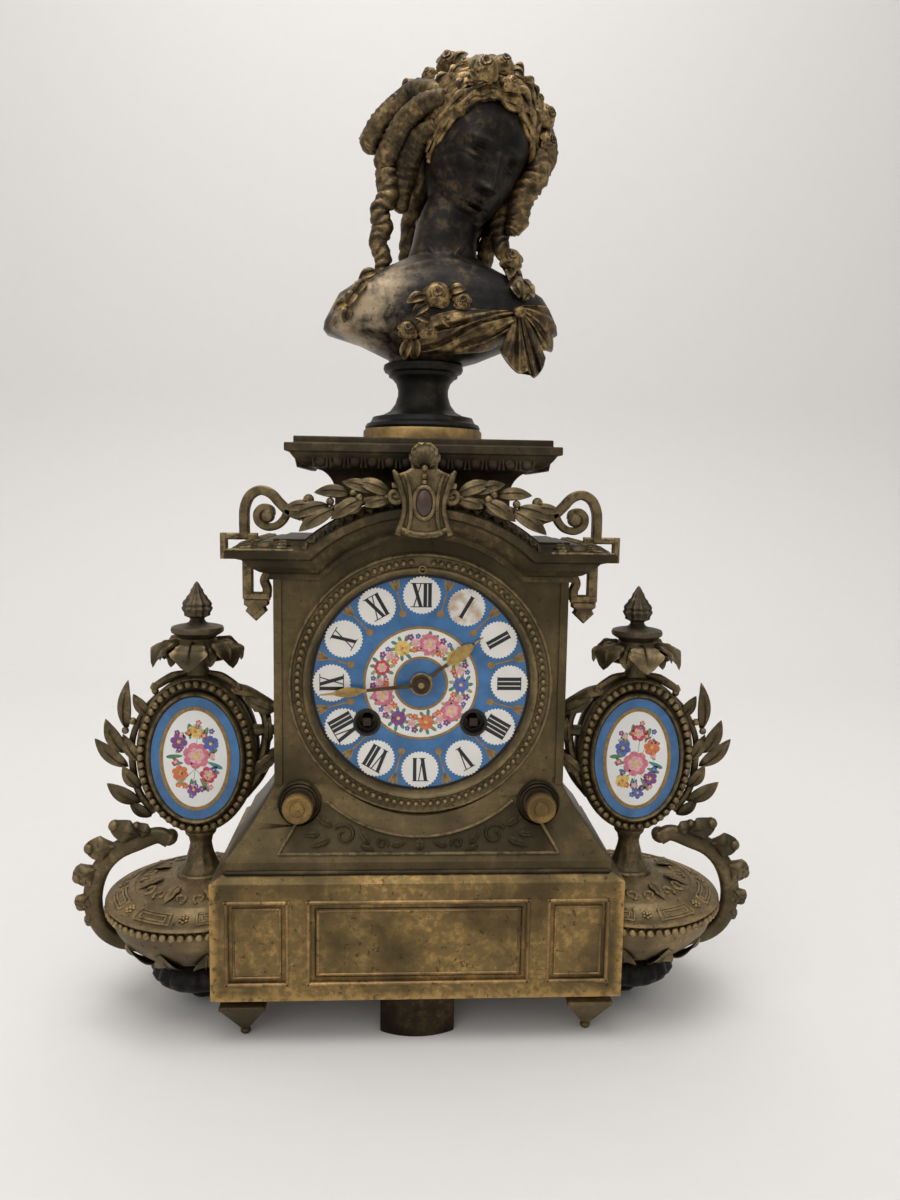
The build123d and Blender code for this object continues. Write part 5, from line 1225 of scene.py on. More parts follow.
# scrolls that tie the medallion to the case side
ties = newPiece()
tieLines = [
    ([(55.2, -4, 124), (58.5, -4, 122.4), (63, -4.4, 124.8), (69.5, -4.6, 128.4), (75, -4.6, 129.6)],
     [2.6, 2.2, 2.6, 2.8]),
    ([(55.2, -4, 112.4), (60, -4.2, 113), (66.5, -4.4, 112.6)], [2.4, 1.9, 2.6]),
    ([(55.2, -4, 101.6), (58.4, -4, 103), (62, -4.4, 99.4), (66, -4.4, 93), (71.4, -4.4, 86.6)],
     [2.6, 2.4, 2.8, 3.0]),
    ([(64.5, -4.2, 125), (61.6, -4.2, 117), (62.2, -4.2, 106), (64.8, -4.2, 98)], [2.4, 2.0, 2.0, 2.4]),
]
for line, radii in tieLines:
    addTube(ties, [place(*p) for p in line], radii, steps=20, flat=1.5)
tieLeaves = [
    ((58, -7.4, 121), (70.6, -8, 127.4), 6.0), ((57.4, -7.2, 104), (68.6, -8, 94), 6.0),
    ((60.4, -7, 108), (60, -7.2, 119), 4.4),
]
addLeaves(ties, tieLeaves, place, 1.4, curl=0.08, lobes=4)

# leaf canopy and pine cone
canopy = newPiece()
canopyProfile = [
    (0, 134.6), (4.6, 134.6), (4.8, 136), (4, 138.4), (4.2, 141), (7.5, 142.2), (11.4, 142), (12.4, 142.6),
    (11.8, 144.2), (10, 146.4), (8.4, 148.4), (7.6, 149.4), (7, 150.4), (0, 150.4),
]
addTurned(canopy, canopyProfile, urnSpot)
for a in allRound(6, pi / 6):
    c, s = cos(a), sin(a)
    addLeaf(canopy, onUrn(5.6, a, 148.8), onUrn(17.2, a, 138.9), 15.5, 1.8, facing=(c * 0.6, s * 0.6, 0.8),
            curl=0.2, lobes=3, rib=0.9, full=1.35)
    a += pi / 6
    c, s = cos(a), sin(a)
    addLeaf(canopy, onUrn(6.0, a, 147.6), onUrn(14.6, a, 140.2), 8.5, 1.5, facing=(c * 0.6, s * 0.6, 0.8),
            curl=0.16, lobes=2, rib=0.8, full=1.2)
cone = newPiece()


def scales(r, h, a):
    if h < 159.4:
        return r, h
    k = (h - 159.4) * 1.25
    return r * (1.0 + 0.13 * cos(6 * a + k) * cos(6 * a - k)), h


coneProfile = [
    (0, 150.4), (7.1, 150.4), (7.6, 151.2), (9, 152), (10.1, 152.8), (10.3, 153.8), (9.9, 154.8),
    (8.4, 155.3), (5.2, 155.8), (3.4, 156.6), (2.8, 157.6), (2.9, 158.3), (4, 158.8), (4.6, 159.4),
]
for i in range(1, 15):
    t = i / 14
    coneProfile.append((4.6 + 1.3 * sin(pi * min(1, t * 1.6)) - 4.0 * t ** 2.0, 159.4 + 12.9 * t))
coneProfile.append((0, 172.9))
addTurned(cone, coneProfile, urnSpot, sides=60, wave=scales)

# scroll arm with leaves on its back
arm = newPiece()
armLine = [
    (98.5, 70.6), (103, 72.6), (110.5, 70.2), (119, 66.4), (125.5, 59.2), (128.8, 49.6), (128.3, 40.2),
    (124.2, 32.4), (117, 28.2), (112, 29.8), (113, 33), (115.4, 32.2),
]


def grooved(t, a):
    return 1.0 - 0.16 * abs(sin(a)) ** 10 - 0.05 * cos(6 * a)


armY = -14.0
armThick = [3.0, 3.1, 3.5, 3.7, 3.7, 3.6, 3.3, 3.0, 2.7, 2.3, 1.8, 1.5]
addTube(arm, [place(x, armY, z) for x, z in armLine], armThick, sides=28, steps=70, wave=grooved)
addBall(arm, place(114.6, armY, 31.6), (3.0, 3.0, 4.4), facing=(0, -1, 0), sides=14)
addBall(arm, place(99.0, -12.0, 71.0), (3.2, 3.2, 4.6), facing=(0, -1, 0), sides=14)
# rolled acanthus lobes along its back
armLobes = [
    ((108, 72.4), (121.6, 77.2), 9.5, 3.2), ((117.6, 68.8), (131.4, 67.2), 10.5, 3.4),
    ((125.4, 60.4), (136, 54.6), 10.5, 3.4), ((128.8, 50.4), (134.6, 42.4), 8.5, 2.8),
    ((103.6, 72.4), (112.6, 77), 6.5, 2.4), ((128.2, 42.6), (131.2, 35.6), 5.5, 2.0),
]
for root, tip, wide, thick in armLobes:
    start, end = Vector((root[0], armY - 0.2, root[1])), Vector((tip[0], armY, tip[1]))
    way = (end - start).normalized()
    addLeaf(arm, start * mm, end * mm, wide, thick, facing=(-0.15, -1, 0.15), curl=0.1, lobes=2, rib=0.3,
            full=1.5)
    for turn in (-0.8, 0.8):
        c, s = cos(turn), sin(turn)
        lean = Vector((way.x * c - way.z * s, -0.12, way.x * s + way.z * c))
        mid = start.lerp(end, 0.42)
        addLeaf(arm, mid * mm, (mid + lean * wide * 0.55) * mm, wide * 0.45, thick * 0.9,
                facing=(-0.1, -1, 0.1), curl=0.16, rib=0.3, full=1.5)
    addBall(arm, (end - way * thick * 0.6) * mm, (thick * 0.75, thick * 0.75, thick * 0.9),
            facing=(0, -1, 0), sides=14, rows=8)

for side, flip in (("right", False), ("left", True)):
    take = mirrorPiece if flip else (lambda p: p)
    makePiece("urn_bun_" + side, take(bun), [footBlack], nodes=["urn_foot_" + side])
    makePiece("urn_bowl_cast_" + side, take(bowl), [giltBowl], nodes=["urn_bowl_" + side])
    makePiece("medallion_frame_" + side, take(medal), [giltOrnament], nodes=["medallion_" + side])
    makePiece("scroll_arm_" + side, take(arm), [giltOrnament], nodes=["urn_arm_" + side])
giltFinial = giltMaterial("giltFinial", (0.05, 0.039, 0.026), (0.092, 0.071, 0.045), (0.19, 0.14, 0.08),
                          rub=(0.52, 0.6))
urnPairs = [
    ("urn_stem_cast", stem, "urn_stems", giltOrnament),
    ("leaf_canopies", canopy, "finial_canopies", giltOrnament), ("pine_cones", cone, "finials", giltFinial),
    ("side_scrolls", ties, "side_straps", giltOrnament),
]
for name, piece, node, mat in urnPairs:
    makePiece(name, joinPieces(piece, mirrorPiece(piece)), [mat], nodes=[node])

# painted plaques: white oval, gold line, bouquet
plaqueSet = {"y": -11.8, "half": 12.7, "tall": 19.8}
py = plaqueSet["y"]
for side, sx in (("right", 1), ("left", -1)):
    white, line, flowers = newPiece(), newPiece(), newPiece()
    cx, cz = sx * ux, plaqueAt[1]
    half, tall = plaqueSet["half"], plaqueSet["tall"]
    oval = [(cx + half * cos(a), cz + tall * sin(a)) for a in allRound(64)]
    addFlat(white, oval, py + 0.2, 0.3)
    rim = [(-0.2, py + 0.1), (1.25, py + 0.1), (1.25, py - 0.2), (-0.2, py - 0.2)]
    addOvalRing(line, (cx, cz), half, tall, rim, sides=80)
    for x, z in ovalSpots((cx, cz), half + 0.55, tall + 0.55, 1.45):
        addBall(line, place(x, py - 0.2, z), (0.36, 0.36, 0.22), facing=(0, -1, 0), sides=6, rows=4)
    fy = py - 0.08
    plan = [
        ((0.4, 1), 4.6, "rose", 7), ((-4.6, 5.4), 2.9, "violet", 6), ((4.6, 4.8), 2.7, "blue", 6),
        ((-4.4, -4.4), 2.8, "orange", 6), ((3.8, -5), 3.0, "red", 6), ((0.2, 8.6), 2.5, "yellow", 6),
        ((-0.6, -9.6), 2.3, "violet", 5),
    ]
    if side == "right":
        plan = [
            ((-0.4, -1.6), 4.5, "rose", 7), ((4.4, 3.6), 2.9, "orange", 6), ((-4.4, 3.4), 2.8, "blue", 6),
            ((0.2, 8.2), 3.0, "red", 6), ((4.2, -6.4), 2.6, "violet", 6), ((-4.2, -7), 2.5, "yellow", 6),
            ((0.6, -11), 2.2, "blue", 5),
        ]
    stems = [
        ((0, -2), (-6.8, 10.6)), ((0, -2), (6.6, 11.2)), ((0, 0), (1.6, 14.6)), ((0, -4), (-6.6, -10.6)),
        ((0, -4), (5.8, -11.6)), ((0, -4), (-1.6, -15)),
    ]
    for a, b in stems:
        paintedStem(flowers, (cx + a[0], cz + a[1]), (cx + b[0], cz + b[1]), fy)
    for k, a in enumerate(allRound(18, 0.2)):
        root = (cx + 4.8 * cos(a), cz + 8.4 * sin(a))
        lean = atan2(1.25 * sin(a), cos(a)) + 0.25 * (-1) ** k
        paintedLeaf(flowers, root, lean, 4.6 + (k % 3), 2.2, fy, greens[k % 4])
    for (dx, up), r, colour, petals in plan:
        heart = "yellow" if colour != "yellow" else "orange"
        paintedFlower(flowers, (cx + dx * 1.35, cz + up * 1.3), r * 1.18, petals, colour, heart, fy, turn=r)
    for k, a in enumerate(allRound(14, 0.1)):
        out = 1.0 if k % 2 else 0.86
        spot = (cx + 7.6 * out * cos(a), cz + 13.0 * out * sin(a))
        root = (spot[0] - 1.0 * cos(a), spot[1] - 1.4 * sin(a))
        for lean in (-0.7, 0.6):
            paintedLeaf(flowers, root, a + lean, 2.6, 1.5, fy, ("sage", "leaf", "teal")[k % 3])
        paintedFlower(flowers, spot, 1.35, 5, ("blush", "violet", "red", "blue", "orange")[k % 5], "yellow",
                      fy, turn=k)
    for (_, tip), colour in zip(stems, ("violet", "blue", "red", "orange", "rose", "blue")):
        paintedFlower(flowers, (cx + tip[0], cz + tip[1]), 1.2, 5, colour, "yellow", fy)
    makePiece("plaque_white_" + side, white, [porcelain], sharp=30)
    makePiece("plaque_line_" + side, line, [goldLine], sharp=30)
    makePiece("plaque_bouquet_" + side, flowers, paintMats, sharp=30)
print("urns done")


# bust: head with a plain classical face, dressed hair with roses, draped shoulders, turned socle

bustSet = {"y": -2.0, "head": (18.0, -3.0, 336.0), "tall": 54.0, "yaw": 25, "nod": 18, "tilt": 14}
headTurn = Matrix.Identity(3)
for axis, turn in (("Y", "tilt"), ("Z", "yaw"), ("X", "nod")):
    headTurn = headTurn @ Matrix.Rotation(radians(bustSet[turn]), 3, axis)
headAt = Vector(bustSet["head"])
tallHead = bustSet["tall"]
capHalf = Vector((0.385, 0.43, 0.48)) * tallHead
capAt = headAt + headTurn @ Vector((0, 0.125, 0.168)) * tallHead


# front of the hair at a place in the front plane, or its limb where the place lies outside
def onHair(x, z, out=0.0, back=False):
    turn = headTurn.transposed()
    a, b, c = 0.0, 0.0, -1.0
    start, way = turn @ (Vector((x, 0, z)) - capAt), turn @ Vector((0, 1, 0))
    for i in range(3):
        h = capHalf[i] + out
        a += (way[i] / h) ** 2
        b += start[i] * way[i] / h ** 2
        c += (start[i] / h) ** 2
    root = sqrt(max(0.0, b * b - a * c))
    return place(x, (-b + (root if back else -root)) / a, z)


torsoRows = [
    (258.5, 1, 14.5, 12), (260.2, 4, 17.5, 13.5), (265.7, 4.6, 30, 18), (269.4, 5.9, 43.6, 20.4),
    (271, 6.7, 45.6, 21.2), (274, 6.7, 45.2, 21.6), (280, 6.8, 42.2, 21), (284.2, 6.6, 39.6, 20),
    (288.2, 6.4, 33.4, 18.4), (293.2, 6, 23.6, 15.8), (298.3, 7, 13.6, 13), (303, 7.2, 12.3, 12.3),
    (310, 8.2, 11.9, 12), (318, 11.4, 11.8, 11.8), (327, 16, 11.6, 11.6),
]


def torsoAt(z):
    for low, high in zip(torsoRows, torsoRows[1:]):
        if z <= high[0]:
            t = max(0.0, (z - low[0]) / (high[0] - low[0]))
            return [low[i] + (high[i] - low[i]) * t for i in (1, 2, 3)]
    return list(torsoRows[-1][1:])


# how far the front swells at a place: collar bones, hollows above them, breasts
def torsoSwell(x, z):
    off = abs(x - 7.0)
    swell = 1.3 * exp(-((z - 295.5 + 0.2 * off) / 1.7) ** 2) * exp(-((off - 11.0) / 8.0) ** 2)
    swell -= 1.4 * exp(-((z - 299.0 + 0.2 * off) / 2.4) ** 2) * exp(-((off - 12.0) / 7.0) ** 2)
    return swell + 1.6 * exp(-((z - 274.0) / 7.0) ** 2) * exp(-((off - 15.0) / 9.0) ** 2)


def onTorso(x, z, out=0.0):
    cx, wide, deep = torsoAt(z)
    across = min(1.0, abs(x - cx) / wide) ** (1 / 0.86)
    front = deep * (1.0 - across ** 2) ** 0.46
    return place(x, bustSet["y"] - front - torsoSwell(x, z) - out, z)


torso = newPiece()
rings = []
for i in range(len(torsoRows) * 5 - 4):
    at = i / 5
    k = min(int(at), len(torsoRows) - 2)
    z, cx, wide, deep = [torsoRows[k][j] + (torsoRows[k + 1][j] - torsoRows[k][j]) * (at - k)
                         for j in range(4)]
    ring = []
    for a in allRound(84):
        c, s = cos(a), sin(a)
        x = cx + wide * copysign(abs(c) ** 0.86, c)
        y = bustSet["y"] + deep * copysign(abs(s) ** 0.92, s)
        if s < 0:
            y -= torsoSwell(x, z)
        ring.append(place(x, y, z))
    rings.append(ring)
addRings(torso, rings)
for sx in (-1, 1):
    cord = [(8.2 + sx * 9.6, -2.0, 312.0), (7.6 + sx * 7.4, -9.4, 304.0), (7.2 + sx * 3.4, -14.2, 296.0)]
    addTube(torso, [place(*p) for p in cord], [2.4, 2.2, 1.4], sides=12, steps=14)
makePiece("bust_shoulders", torso, [skinRubbed], nodes=["bust_torso"], sharp=50)


def ovalReach(way, centre, half):
    a = sum((way[i] / half[i]) ** 2 for i in range(3))
    b = sum(way[i] * centre[i] / half[i] ** 2 for i in range(3))
    c = sum((centre[i] / half[i]) ** 2 for i in range(3)) - 1.0
    return (b + sqrt(max(0.0, b * b - a * c))) / a


def bump(x, z, atX, atZ, wideX, wideZ):
    return exp(-((x - atX) / wideX) ** 2 - ((z - atZ) / wideZ) ** 2)


# forward relief of the face in shares of the head's height, laid out on the usual canon:
# sockets and lids, wings of the nose, lips, chin, cheeks
faceForms = [
    (-0.045, 0.14, 0.03, 0.075, 0.05), (0.03, 0.138, 0.012, 0.05, 0.03),
    (0.012, 0.138, 0.004, 0.058, 0.011), (-0.014, 0.138, -0.014, 0.06, 0.008),
    (-0.012, 0.138, 0.05, 0.06, 0.01), (0.05, 0.05, -0.155, 0.024, 0.026), (0.032, 0, -0.268, 0.075, 0.022),
    (0.034, 0, -0.318, 0.058, 0.022), (-0.03, 0, -0.292, 0.085, 0.009), (-0.008, 0, -0.235, 0.014, 0.03),
    (-0.014, 0, -0.362, 0.06, 0.02), (0.03, 0, -0.425, 0.075, 0.045), (0.016, 0.2, -0.11, 0.09, 0.09),
]


def faceRelief(x, z):
    x = abs(x)
    f = 0.0
    for tall, atX, atZ, wideX, wideZ in faceForms:
        f += tall * bump(x, z, atX, atZ, wideX, wideZ)
    f += 0.022 * bump(x, z, 0.12, 0.105 - 0.25 * (x - 0.1) ** 2, 0.1, 0.028)
    if z < 0.1:
        down = min(1.0, (0.1 - z) / 0.25)
        rise = 0.03 + 0.105 * down ** 1.3
        fall = 1.0 if z > -0.155 else exp(-((z + 0.155) / 0.022) ** 2)
        lead = 1.0 if z < 0.06 else exp(-((z - 0.06) / 0.03) ** 2)
        f += rise * fall * lead * exp(-(x / (0.03 + 0.014 * down)) ** 2)
    return f


face = newPiece()
rings = []
rows, cols = 150, 150
for i in range(rows + 1):
    s = i / rows
    polar = pi * (s + 0.05 * sin(tau * s))
    ring = []
    for t in allRound(cols) if 0 < i < rows else [0.0]:
        around = t - 0.55 * sin(t)
        way = Vector((sin(polar) * sin(around), -sin(polar) * cos(around), -cos(polar)))
        skull = ovalReach(way, (0, 0.06, 0.12), (0.35, 0.42, 0.38))
        jaw = ovalReach(way, (0, -0.06, -0.12), (0.265, 0.33, 0.38))
        p = way * log(exp(14 * skull) + exp(14 * jaw)) / 14
        ahead = max(0.0, min(1.0, (-p.y - 0.05) / 0.2))
        p.y -= faceRelief(p.x, p.z) * ahead
        ring.append((headAt + headTurn @ p * tallHead) * mm)
    rings.append(ring)
addRings(face, rings)
makePiece("bust_face", face, [patina], nodes=["bust_head"], sharp=60)

# hair: cap with combed ridges, waves off the parting, rolled curls, long ringlets
hair = newPiece()
rings = []
for i in range(61):
    polar = pi * i / 60
    ring = []
    for a in allRound(120) if 0 < i < 60 else [0.0]:
        way = Vector((cos(polar), sin(polar) * sin(a), sin(polar) * cos(a)))
        comb = 1.0 + 0.022 * cos(26 * a + 5.0 * sin(3 * polar))
        comb += 0.012 * cos(41 * a + 9 * polar)
        ring.append((capAt + headTurn @ Vector([way[j] * capHalf[j] * comb for j in range(3)])) * mm)
    rings.append(ring)
addRings(hair, rings)


def addCurl(points, radii, twist, deep, steps=48):
    phase = random.uniform(0, 6)

    def grooves(t, a):
        way = a + twist * pi * t + 0.5 * sin(9 * t + phase)
        fine = 0.05 * cos(5 * a + 2.6 * twist * pi * t + phase)
        return 1.0 - deep * abs(cos(way)) ** 3 * (0.7 + 0.3 * sin(13 * t + phase)) + fine
    ends = [0.35 * radii[0]] + list(radii) + [0.3 * radii[-1]]
    first, last = Vector(points[0]), Vector(points[-1])
    line = [first + (first - Vector(points[1])).normalized() * radii[0] * 0.5] + [Vector(p) for p in points]
    line.append(last + (last - Vector(points[-2])).normalized() * radii[-1] * 0.6)
    addTube(hair, [p * mm for p in line], ends, sides=30, steps=steps, wave=grooves)


def wavyHair(points, radius):
    phase, more = random.uniform(0, 6), random.uniform(0.8, 1.3)
    line = curveThrough(points, 36)
    moved = []
    for i, p in enumerate(line):
        t = i / 36
        drift = 0.9 * more * sin(3.0 * tau * t + phase) * min(1.0, 3 * t + 0.2)
        aside = Vector((0.35, -0.25, 0.9)).normalized() * drift
        moved.append((p + aside - Vector((0, 0.5 * abs(drift), 0))) * mm)

    def ridged(t, a):
        return 1.0 + 0.14 * cos(3 * a + 14 * t + phase)
    addTube(hair, moved, [radius * 0.6, radius, radius, radius * 0.7], wave=ridged)


addCurl([(5, -14, 355), (-3.6, -6, 358), (-10.8, -2, 353.6), (-16.8, 0, 348), (-21.6, 1, 340.6)],
        [3.4, 4.4, 5.0, 5.2, 4.8], 20, 0.1)
addCurl([(5.4, -18.5, 351), (-1.6, -13, 350), (-7.2, -8, 346.2), (-11.8, -5.5, 339.4), (-16, -4, 331.6)],
        [3.4, 4.4, 5.0, 5.2, 4.6], 20, 0.1)
addCurl([(3, -15, 343), (-2.6, -9, 340), (-6.8, -5, 332.6), (-9, -3, 324), (-9.4, -2, 317)],
        [3.0, 4.4, 4.8, 4.4, 3.0], 16, 0.11)
addCurl([(-2, 6, 349), (-9.6, 7, 345), (-14, 7, 337), (-15.4, 6, 327)], [4.0, 5.0, 5.0, 4.0], 15, 0.11)
addCurl([(-14.8, -4, 329), (-14, -5.4, 321), (-17.4, -6.2, 314.6), (-16.2, -6, 308.8), (-18, -6.4, 303.4),
         (-16, -7, 297.4), (-16.4, -8, 292)], [4.6, 4.4, 3.9, 4.3, 3.5, 3.6, 2.6], 15, 0.22, 64)
addCurl([(43.4, -3, 338), (42.2, -4, 330), (38.6, -5, 324.6), (36, -5, 318.6), (35.6, -4.6, 312.6),
         (33, -4.6, 309.4)], [4.6, 5.4, 5.2, 4.8, 4.2, 3.0], 12, 0.18, 56)
addCurl([(36, 4, 336), (33.4, 3, 324), (29.8, 1, 314), (29.2, -0.6, 306), (31, -3.4, 300)],
        [4.6, 5.0, 4.4, 3.8, 2.8], 12, 0.2, 56)
shoulderLine = [(33.4, 295.4), (36, 290.6), (34.6, 286), (37.6, 281.6)]
onShoulder = [onTorso(x, z, 1.2) / mm for x, z in shoulderLine]
addCurl([(32.6, -5, 301)] + onShoulder, [2.6, 3.1, 2.9, 2.5, 1.7], 9, 0.2)
addCurl([(38, 6, 350), (44.6, 2, 347), (46, -1, 338), (43, -1, 330)], [4.0, 5.0, 4.8, 3.6], 15, 0.11)
# hair gathered at the back and falling on the nape
for x, z, lean in ((-2.0, 342.0, -4.0), (6.0, 338.0, -2.0), (14.0, 336.0, 0.0), (22.0, 337.0, 2.0),
                   (30.0, 341.0, 4.0)):
    top = onHair(x, z + 14.0, 0.5, True) / mm
    low = onHair(x, z - 8.0, 1.0, True) / mm
    addCurl([top, low, (x * 0.8 + 1.0 + lean, 13.0, 318.0), (x * 0.6 + 1.0 + lean * 1.5, 11.5, 305.0),
             (x * 0.6 + lean * 1.5, 12.0, 297.0)], [3.6, 4.8, 4.6, 4.0, 2.8], 12, 0.18, 56)
# waves off the parting: (x, its step per strand, z, share of the rise, lift), left then right
parting = (22.0, 0.0, 350.4, 1.0, 0.6)
leftWave = [
    parting, (13.4, -0.3, 346.6, 1.1, 0.4), (6.2, -0.5, 339.6, 1.2, 0.0), (1.8, -0.5, 331.0, 1.3, -0.4),
]
rightWave = [
    parting, (31.0, 0.3, 347.4, 1.0, 0.4), (37.8, 0.3, 341.0, 1.1, 0.0), (41.4, 0.2, 332.0, 1.2, -0.4),
]
for k in range(10):
    rise = 1.25 * k
    lift = 1.0 + 0.7 * (k % 2)
    for wave, radius in ((leftWave, 1.5), (rightWave, 1.45)):
        wavyHair([onHair(x + k * dx, z + rise * share, lift + more) / mm for x, dx, z, share, more in wave],
                 radius)
makePiece("bust_hair", hair, [patinaGold], sharp=60)

flowers = newPiece()
roses = [
    ((7.9, -9, 367.6), 5.0, (-0.25, -0.9, 0.35)), ((19.8, -27.6, 357.6), 5.6, (0.1, -0.95, 0.25)),
    ((27, -23, 361.6), 4.0, (0.25, -0.85, 0.4)), ((-7, -2, 361.6), 3.4, (-0.5, -0.8, 0.4)),
    ((45.2, -4, 352), 5.2, (0.6, -0.8, 0.1)), ((46.6, -4.6, 342.6), 4.0, (0.6, -0.8, 0)),
    ((29.6, -26.6, 353.4), 3.4, (0.3, -0.9, 0.2)), ((36.4, -12, 359), 3.4, (0.5, -0.8, 0.4)),
    ((41.4, -9, 355.4), 3.2, (0.6, -0.8, 0.3)), ((0.6, -8, 363.4), 3.2, (-0.4, -0.85, 0.4)),
    ((13.4, -16, 363.4), 3.4, (-0.1, -0.9, 0.4)), ((33, -6.4, 298.4), 5.0, (0.2, -0.95, 0.3)),
]
for spot, radius, facing in roses:
    addRose(flowers, place(*spot), radius, facing)
for spot, radius in (((4.4, 280.6), 5.2), ((-6.2, 268.4), 3.9), ((1.4, 268.2), 3.7), ((13.4, 278.6), 3.4)):
    addRose(flowers, onTorso(spot[0], spot[1], 1.0), radius, (0.05, -1, 0.15))
hairLeaves = [
    ((10, 365), (15, 368)), ((12, 362), (8, 357)), ((2, 363), (-3, 364.5)), ((24, 362), (29, 363)),
    ((31, 363), (35, 361)), ((35, 360), (38, 356)), ((37, 358), (40, 353)), ((34, 357), (38, 353)),
    ((39, 350), (41, 345)), ((30, 360), (35, 358)), ((14, 356), (10, 351)), ((-2, 360), (-7, 357)),
    ((17, 357), (13, 354)), ((23, 356), (27, 352)), ((8, 360), (3, 356)),
]
for root, tip in hairLeaves:
    a, b = onHair(root[0], root[1], 1.8), onHair(tip[0], tip[1], 2.2)
    addLeaf(flowers, a, b, 4.6, 1.2, facing=(0.05, -0.85, 0.5), curl=0.2, rib=0.6)
torsoLeaves = [
    ((0, 280), (-7, 277)), ((1, 277), (-5, 272)), ((9, 282), (15, 283)), ((-18, 291), (-25, 288)),
    ((-22, 287), (-27, 280)), ((-25, 283), (-30, 276)), ((-27, 279), (-34, 276)), ((-28, 277), (-30, 271)),
    ((33, 295), (38, 291)), ((33, 293), (31, 287)), ((36, 290), (42, 286)), ((33, 287), (35, 281)),
    ((6, 273), (10, 269)), ((-4.6, 266), (-7.6, 258.6)), ((-3.4, 266), (-3.8, 258.8)),
    ((38, 288), (41, 282)), ((2, 271), (-5, 272.6)),
]
for root, tip in torsoLeaves:
    a, b = onTorso(root[0], root[1], 0.8), onTorso(tip[0], tip[1], 1.2)
    addLeaf(flowers, a, b, 4.4, 1.2, facing=(0, -0.9, 0.4), curl=0.16, rib=0.6)
makePiece("bust_roses", flowers, [patinaGold], sharp=50)

# drapery across the breast, knotted at the right shoulder, its end a fluted fan
cloth = newPiece()
drapeSet = {"knot": (34.8, 275.6), "steps": 44, "across": 48, "hang": 270.0, "valley": 1.5, "ridge": 0.9}
drapeTop = [(-8, 265.6), (-1, 271.6), (7, 274.6), (15, 276), (24, 275.8), (34, 276.4)]
drapeLow = [(-7.4, 262.4), (-1, 260.6), (7, 260.6), (15, 261.4), (24, 263), (33, 267.6)]
upper = curveThrough([Vector((x, 0, z)) for x, z in drapeTop], drapeSet["steps"])
lower = curveThrough([Vector((x, 0, z)) for x, z in drapeLow], drapeSet["steps"])
rings = []
for i, (a, b) in enumerate(zip(upper, lower)):
    t = i / drapeSet["steps"]
    taper = min(1.0, 0.25 + 4.0 * t)
    ring, inside = [], []
    for k in range(drapeSet["across"] + 1):
        s = k / drapeSet["across"]
        fold = 2.1 - 1.9 * (2 * s - 1) ** 6 + 0.35 * cos(tau * (1.4 * s + 0.9 * t))
        for high, drop in ((1.06, 0.92), (1.5, 1.02), (0.62, 0.55)):
            at = high - drop * t + 0.05 * sin(9 * t + 4 * high)
            fold -= drapeSet["valley"] * exp(-((s - at) / 0.045) ** 2)
            fold += drapeSet["ridge"] * exp(-((s - at + 0.1) / 0.07) ** 2)
        p = a.lerp(b, s)
        ring.append(onTorso(p.x, p.z, max(0.3, fold * taper)))
        inside.append(onTorso(p.x, p.z, -2.0))
    rings.append(ring + inside[::-1])
addRings(cloth, rings)
knot = onTorso(drapeSet["knot"][0], drapeSet["knot"][1], 2.4)
addBall(cloth, knot, (2.7, 2.3, 2.6), facing=(0, -1, 0), sides=16, rows=10)


def alongLine(line, share):
    at = share * (len(line) - 1)
    k = min(int(at), len(line) - 2)
    return line[k].lerp(line[k + 1], at - k)


# cloth end on the shoulder, behind the fan
fromKnot = [Vector((36.0, 0, 278.6)), Vector((36.6, 0, 277.0)), Vector((36.4, 0, 274.6))]
toEdge = curveThrough([(46.6, 0, 280), (49.4, 0, 275.6), (50.3, 0, 269.6), (50, 0, 264.4),
                       (45.4, 0, 263.6)], 30)
rings = []
for i in range(25):
    t = i / 24
    ring, inside = [], []
    for k in range(33):
        s = k / 32
        p = alongLine(fromKnot, s).lerp(alongLine(toEdge, s), t)
        ripple = 0.75 + 0.75 * cos(tau * (3.5 * s + 0.15 * sin(5 * t)))
        fold = (0.5 + 1.3 * t * (1 - 0.5 * t)) * ripple + 0.7
        front = onTorso(p.x, max(p.z, drapeSet["hang"]), fold)
        front.z = p.z * mm
        ring.append(front)
        inside.append(front + place(0, 2.6, 0))
    rings.append(ring + inside[::-1])
addRings(cloth, rings)

hemSpots = [
    (27.9, -19.4, 262.2), (30.8, -20, 257.6), (35, -20.2, 253.9), (38.2, -19.6, 254.5),
    (39.6, -19.2, 253.6), (41.6, -18.4, 252.6), (44.2, -16.8, 255.6), (45.8, -15.2, 260.2),
]
hemLine = curveThrough(hemSpots, 60)
flutes = [(-0.74, 0.27), (-0.13, 0.38), (0.42, 0.24), (0.82, 0.22)]
rings = []
for i in range(33):
    t = min(1.0, i / 31)
    swell = 0.7 + 2.3 * t ** 0.7
    ring, inside = [], []
    for k in range(61):
        u = k / 30 - 1
        hem = alongLine(hemLine, k / 60)
        ease = t ** (1.15 - 0.35 * abs(u))
        start = knot / mm + Vector((1.5 * u, 0.9, -1.2))
        p = start.lerp(hem, t)
        p.x = start.x + (hem.x - start.x) * ease
        rise = max(sqrt(max(0.0, 1 - ((u - at) / wide) ** 2)) for at, wide in flutes)
        rise += 0.1 * cos(21 * u + 3 * t)
        lip = 0.35 if i == 32 else 1.0
        ring.append((p - Vector((0, 0.4 + swell * rise * lip, 0))) * mm)
        inside.append((p + Vector((0, 0.9 - (swell * rise - 0.9) * 0.6 * t * lip, 0))) * mm)
    rings.append(ring + inside[::-1])
addRings(cloth, rings)
makePiece("bust_drapery", cloth, [patinaGold], sharp=60)

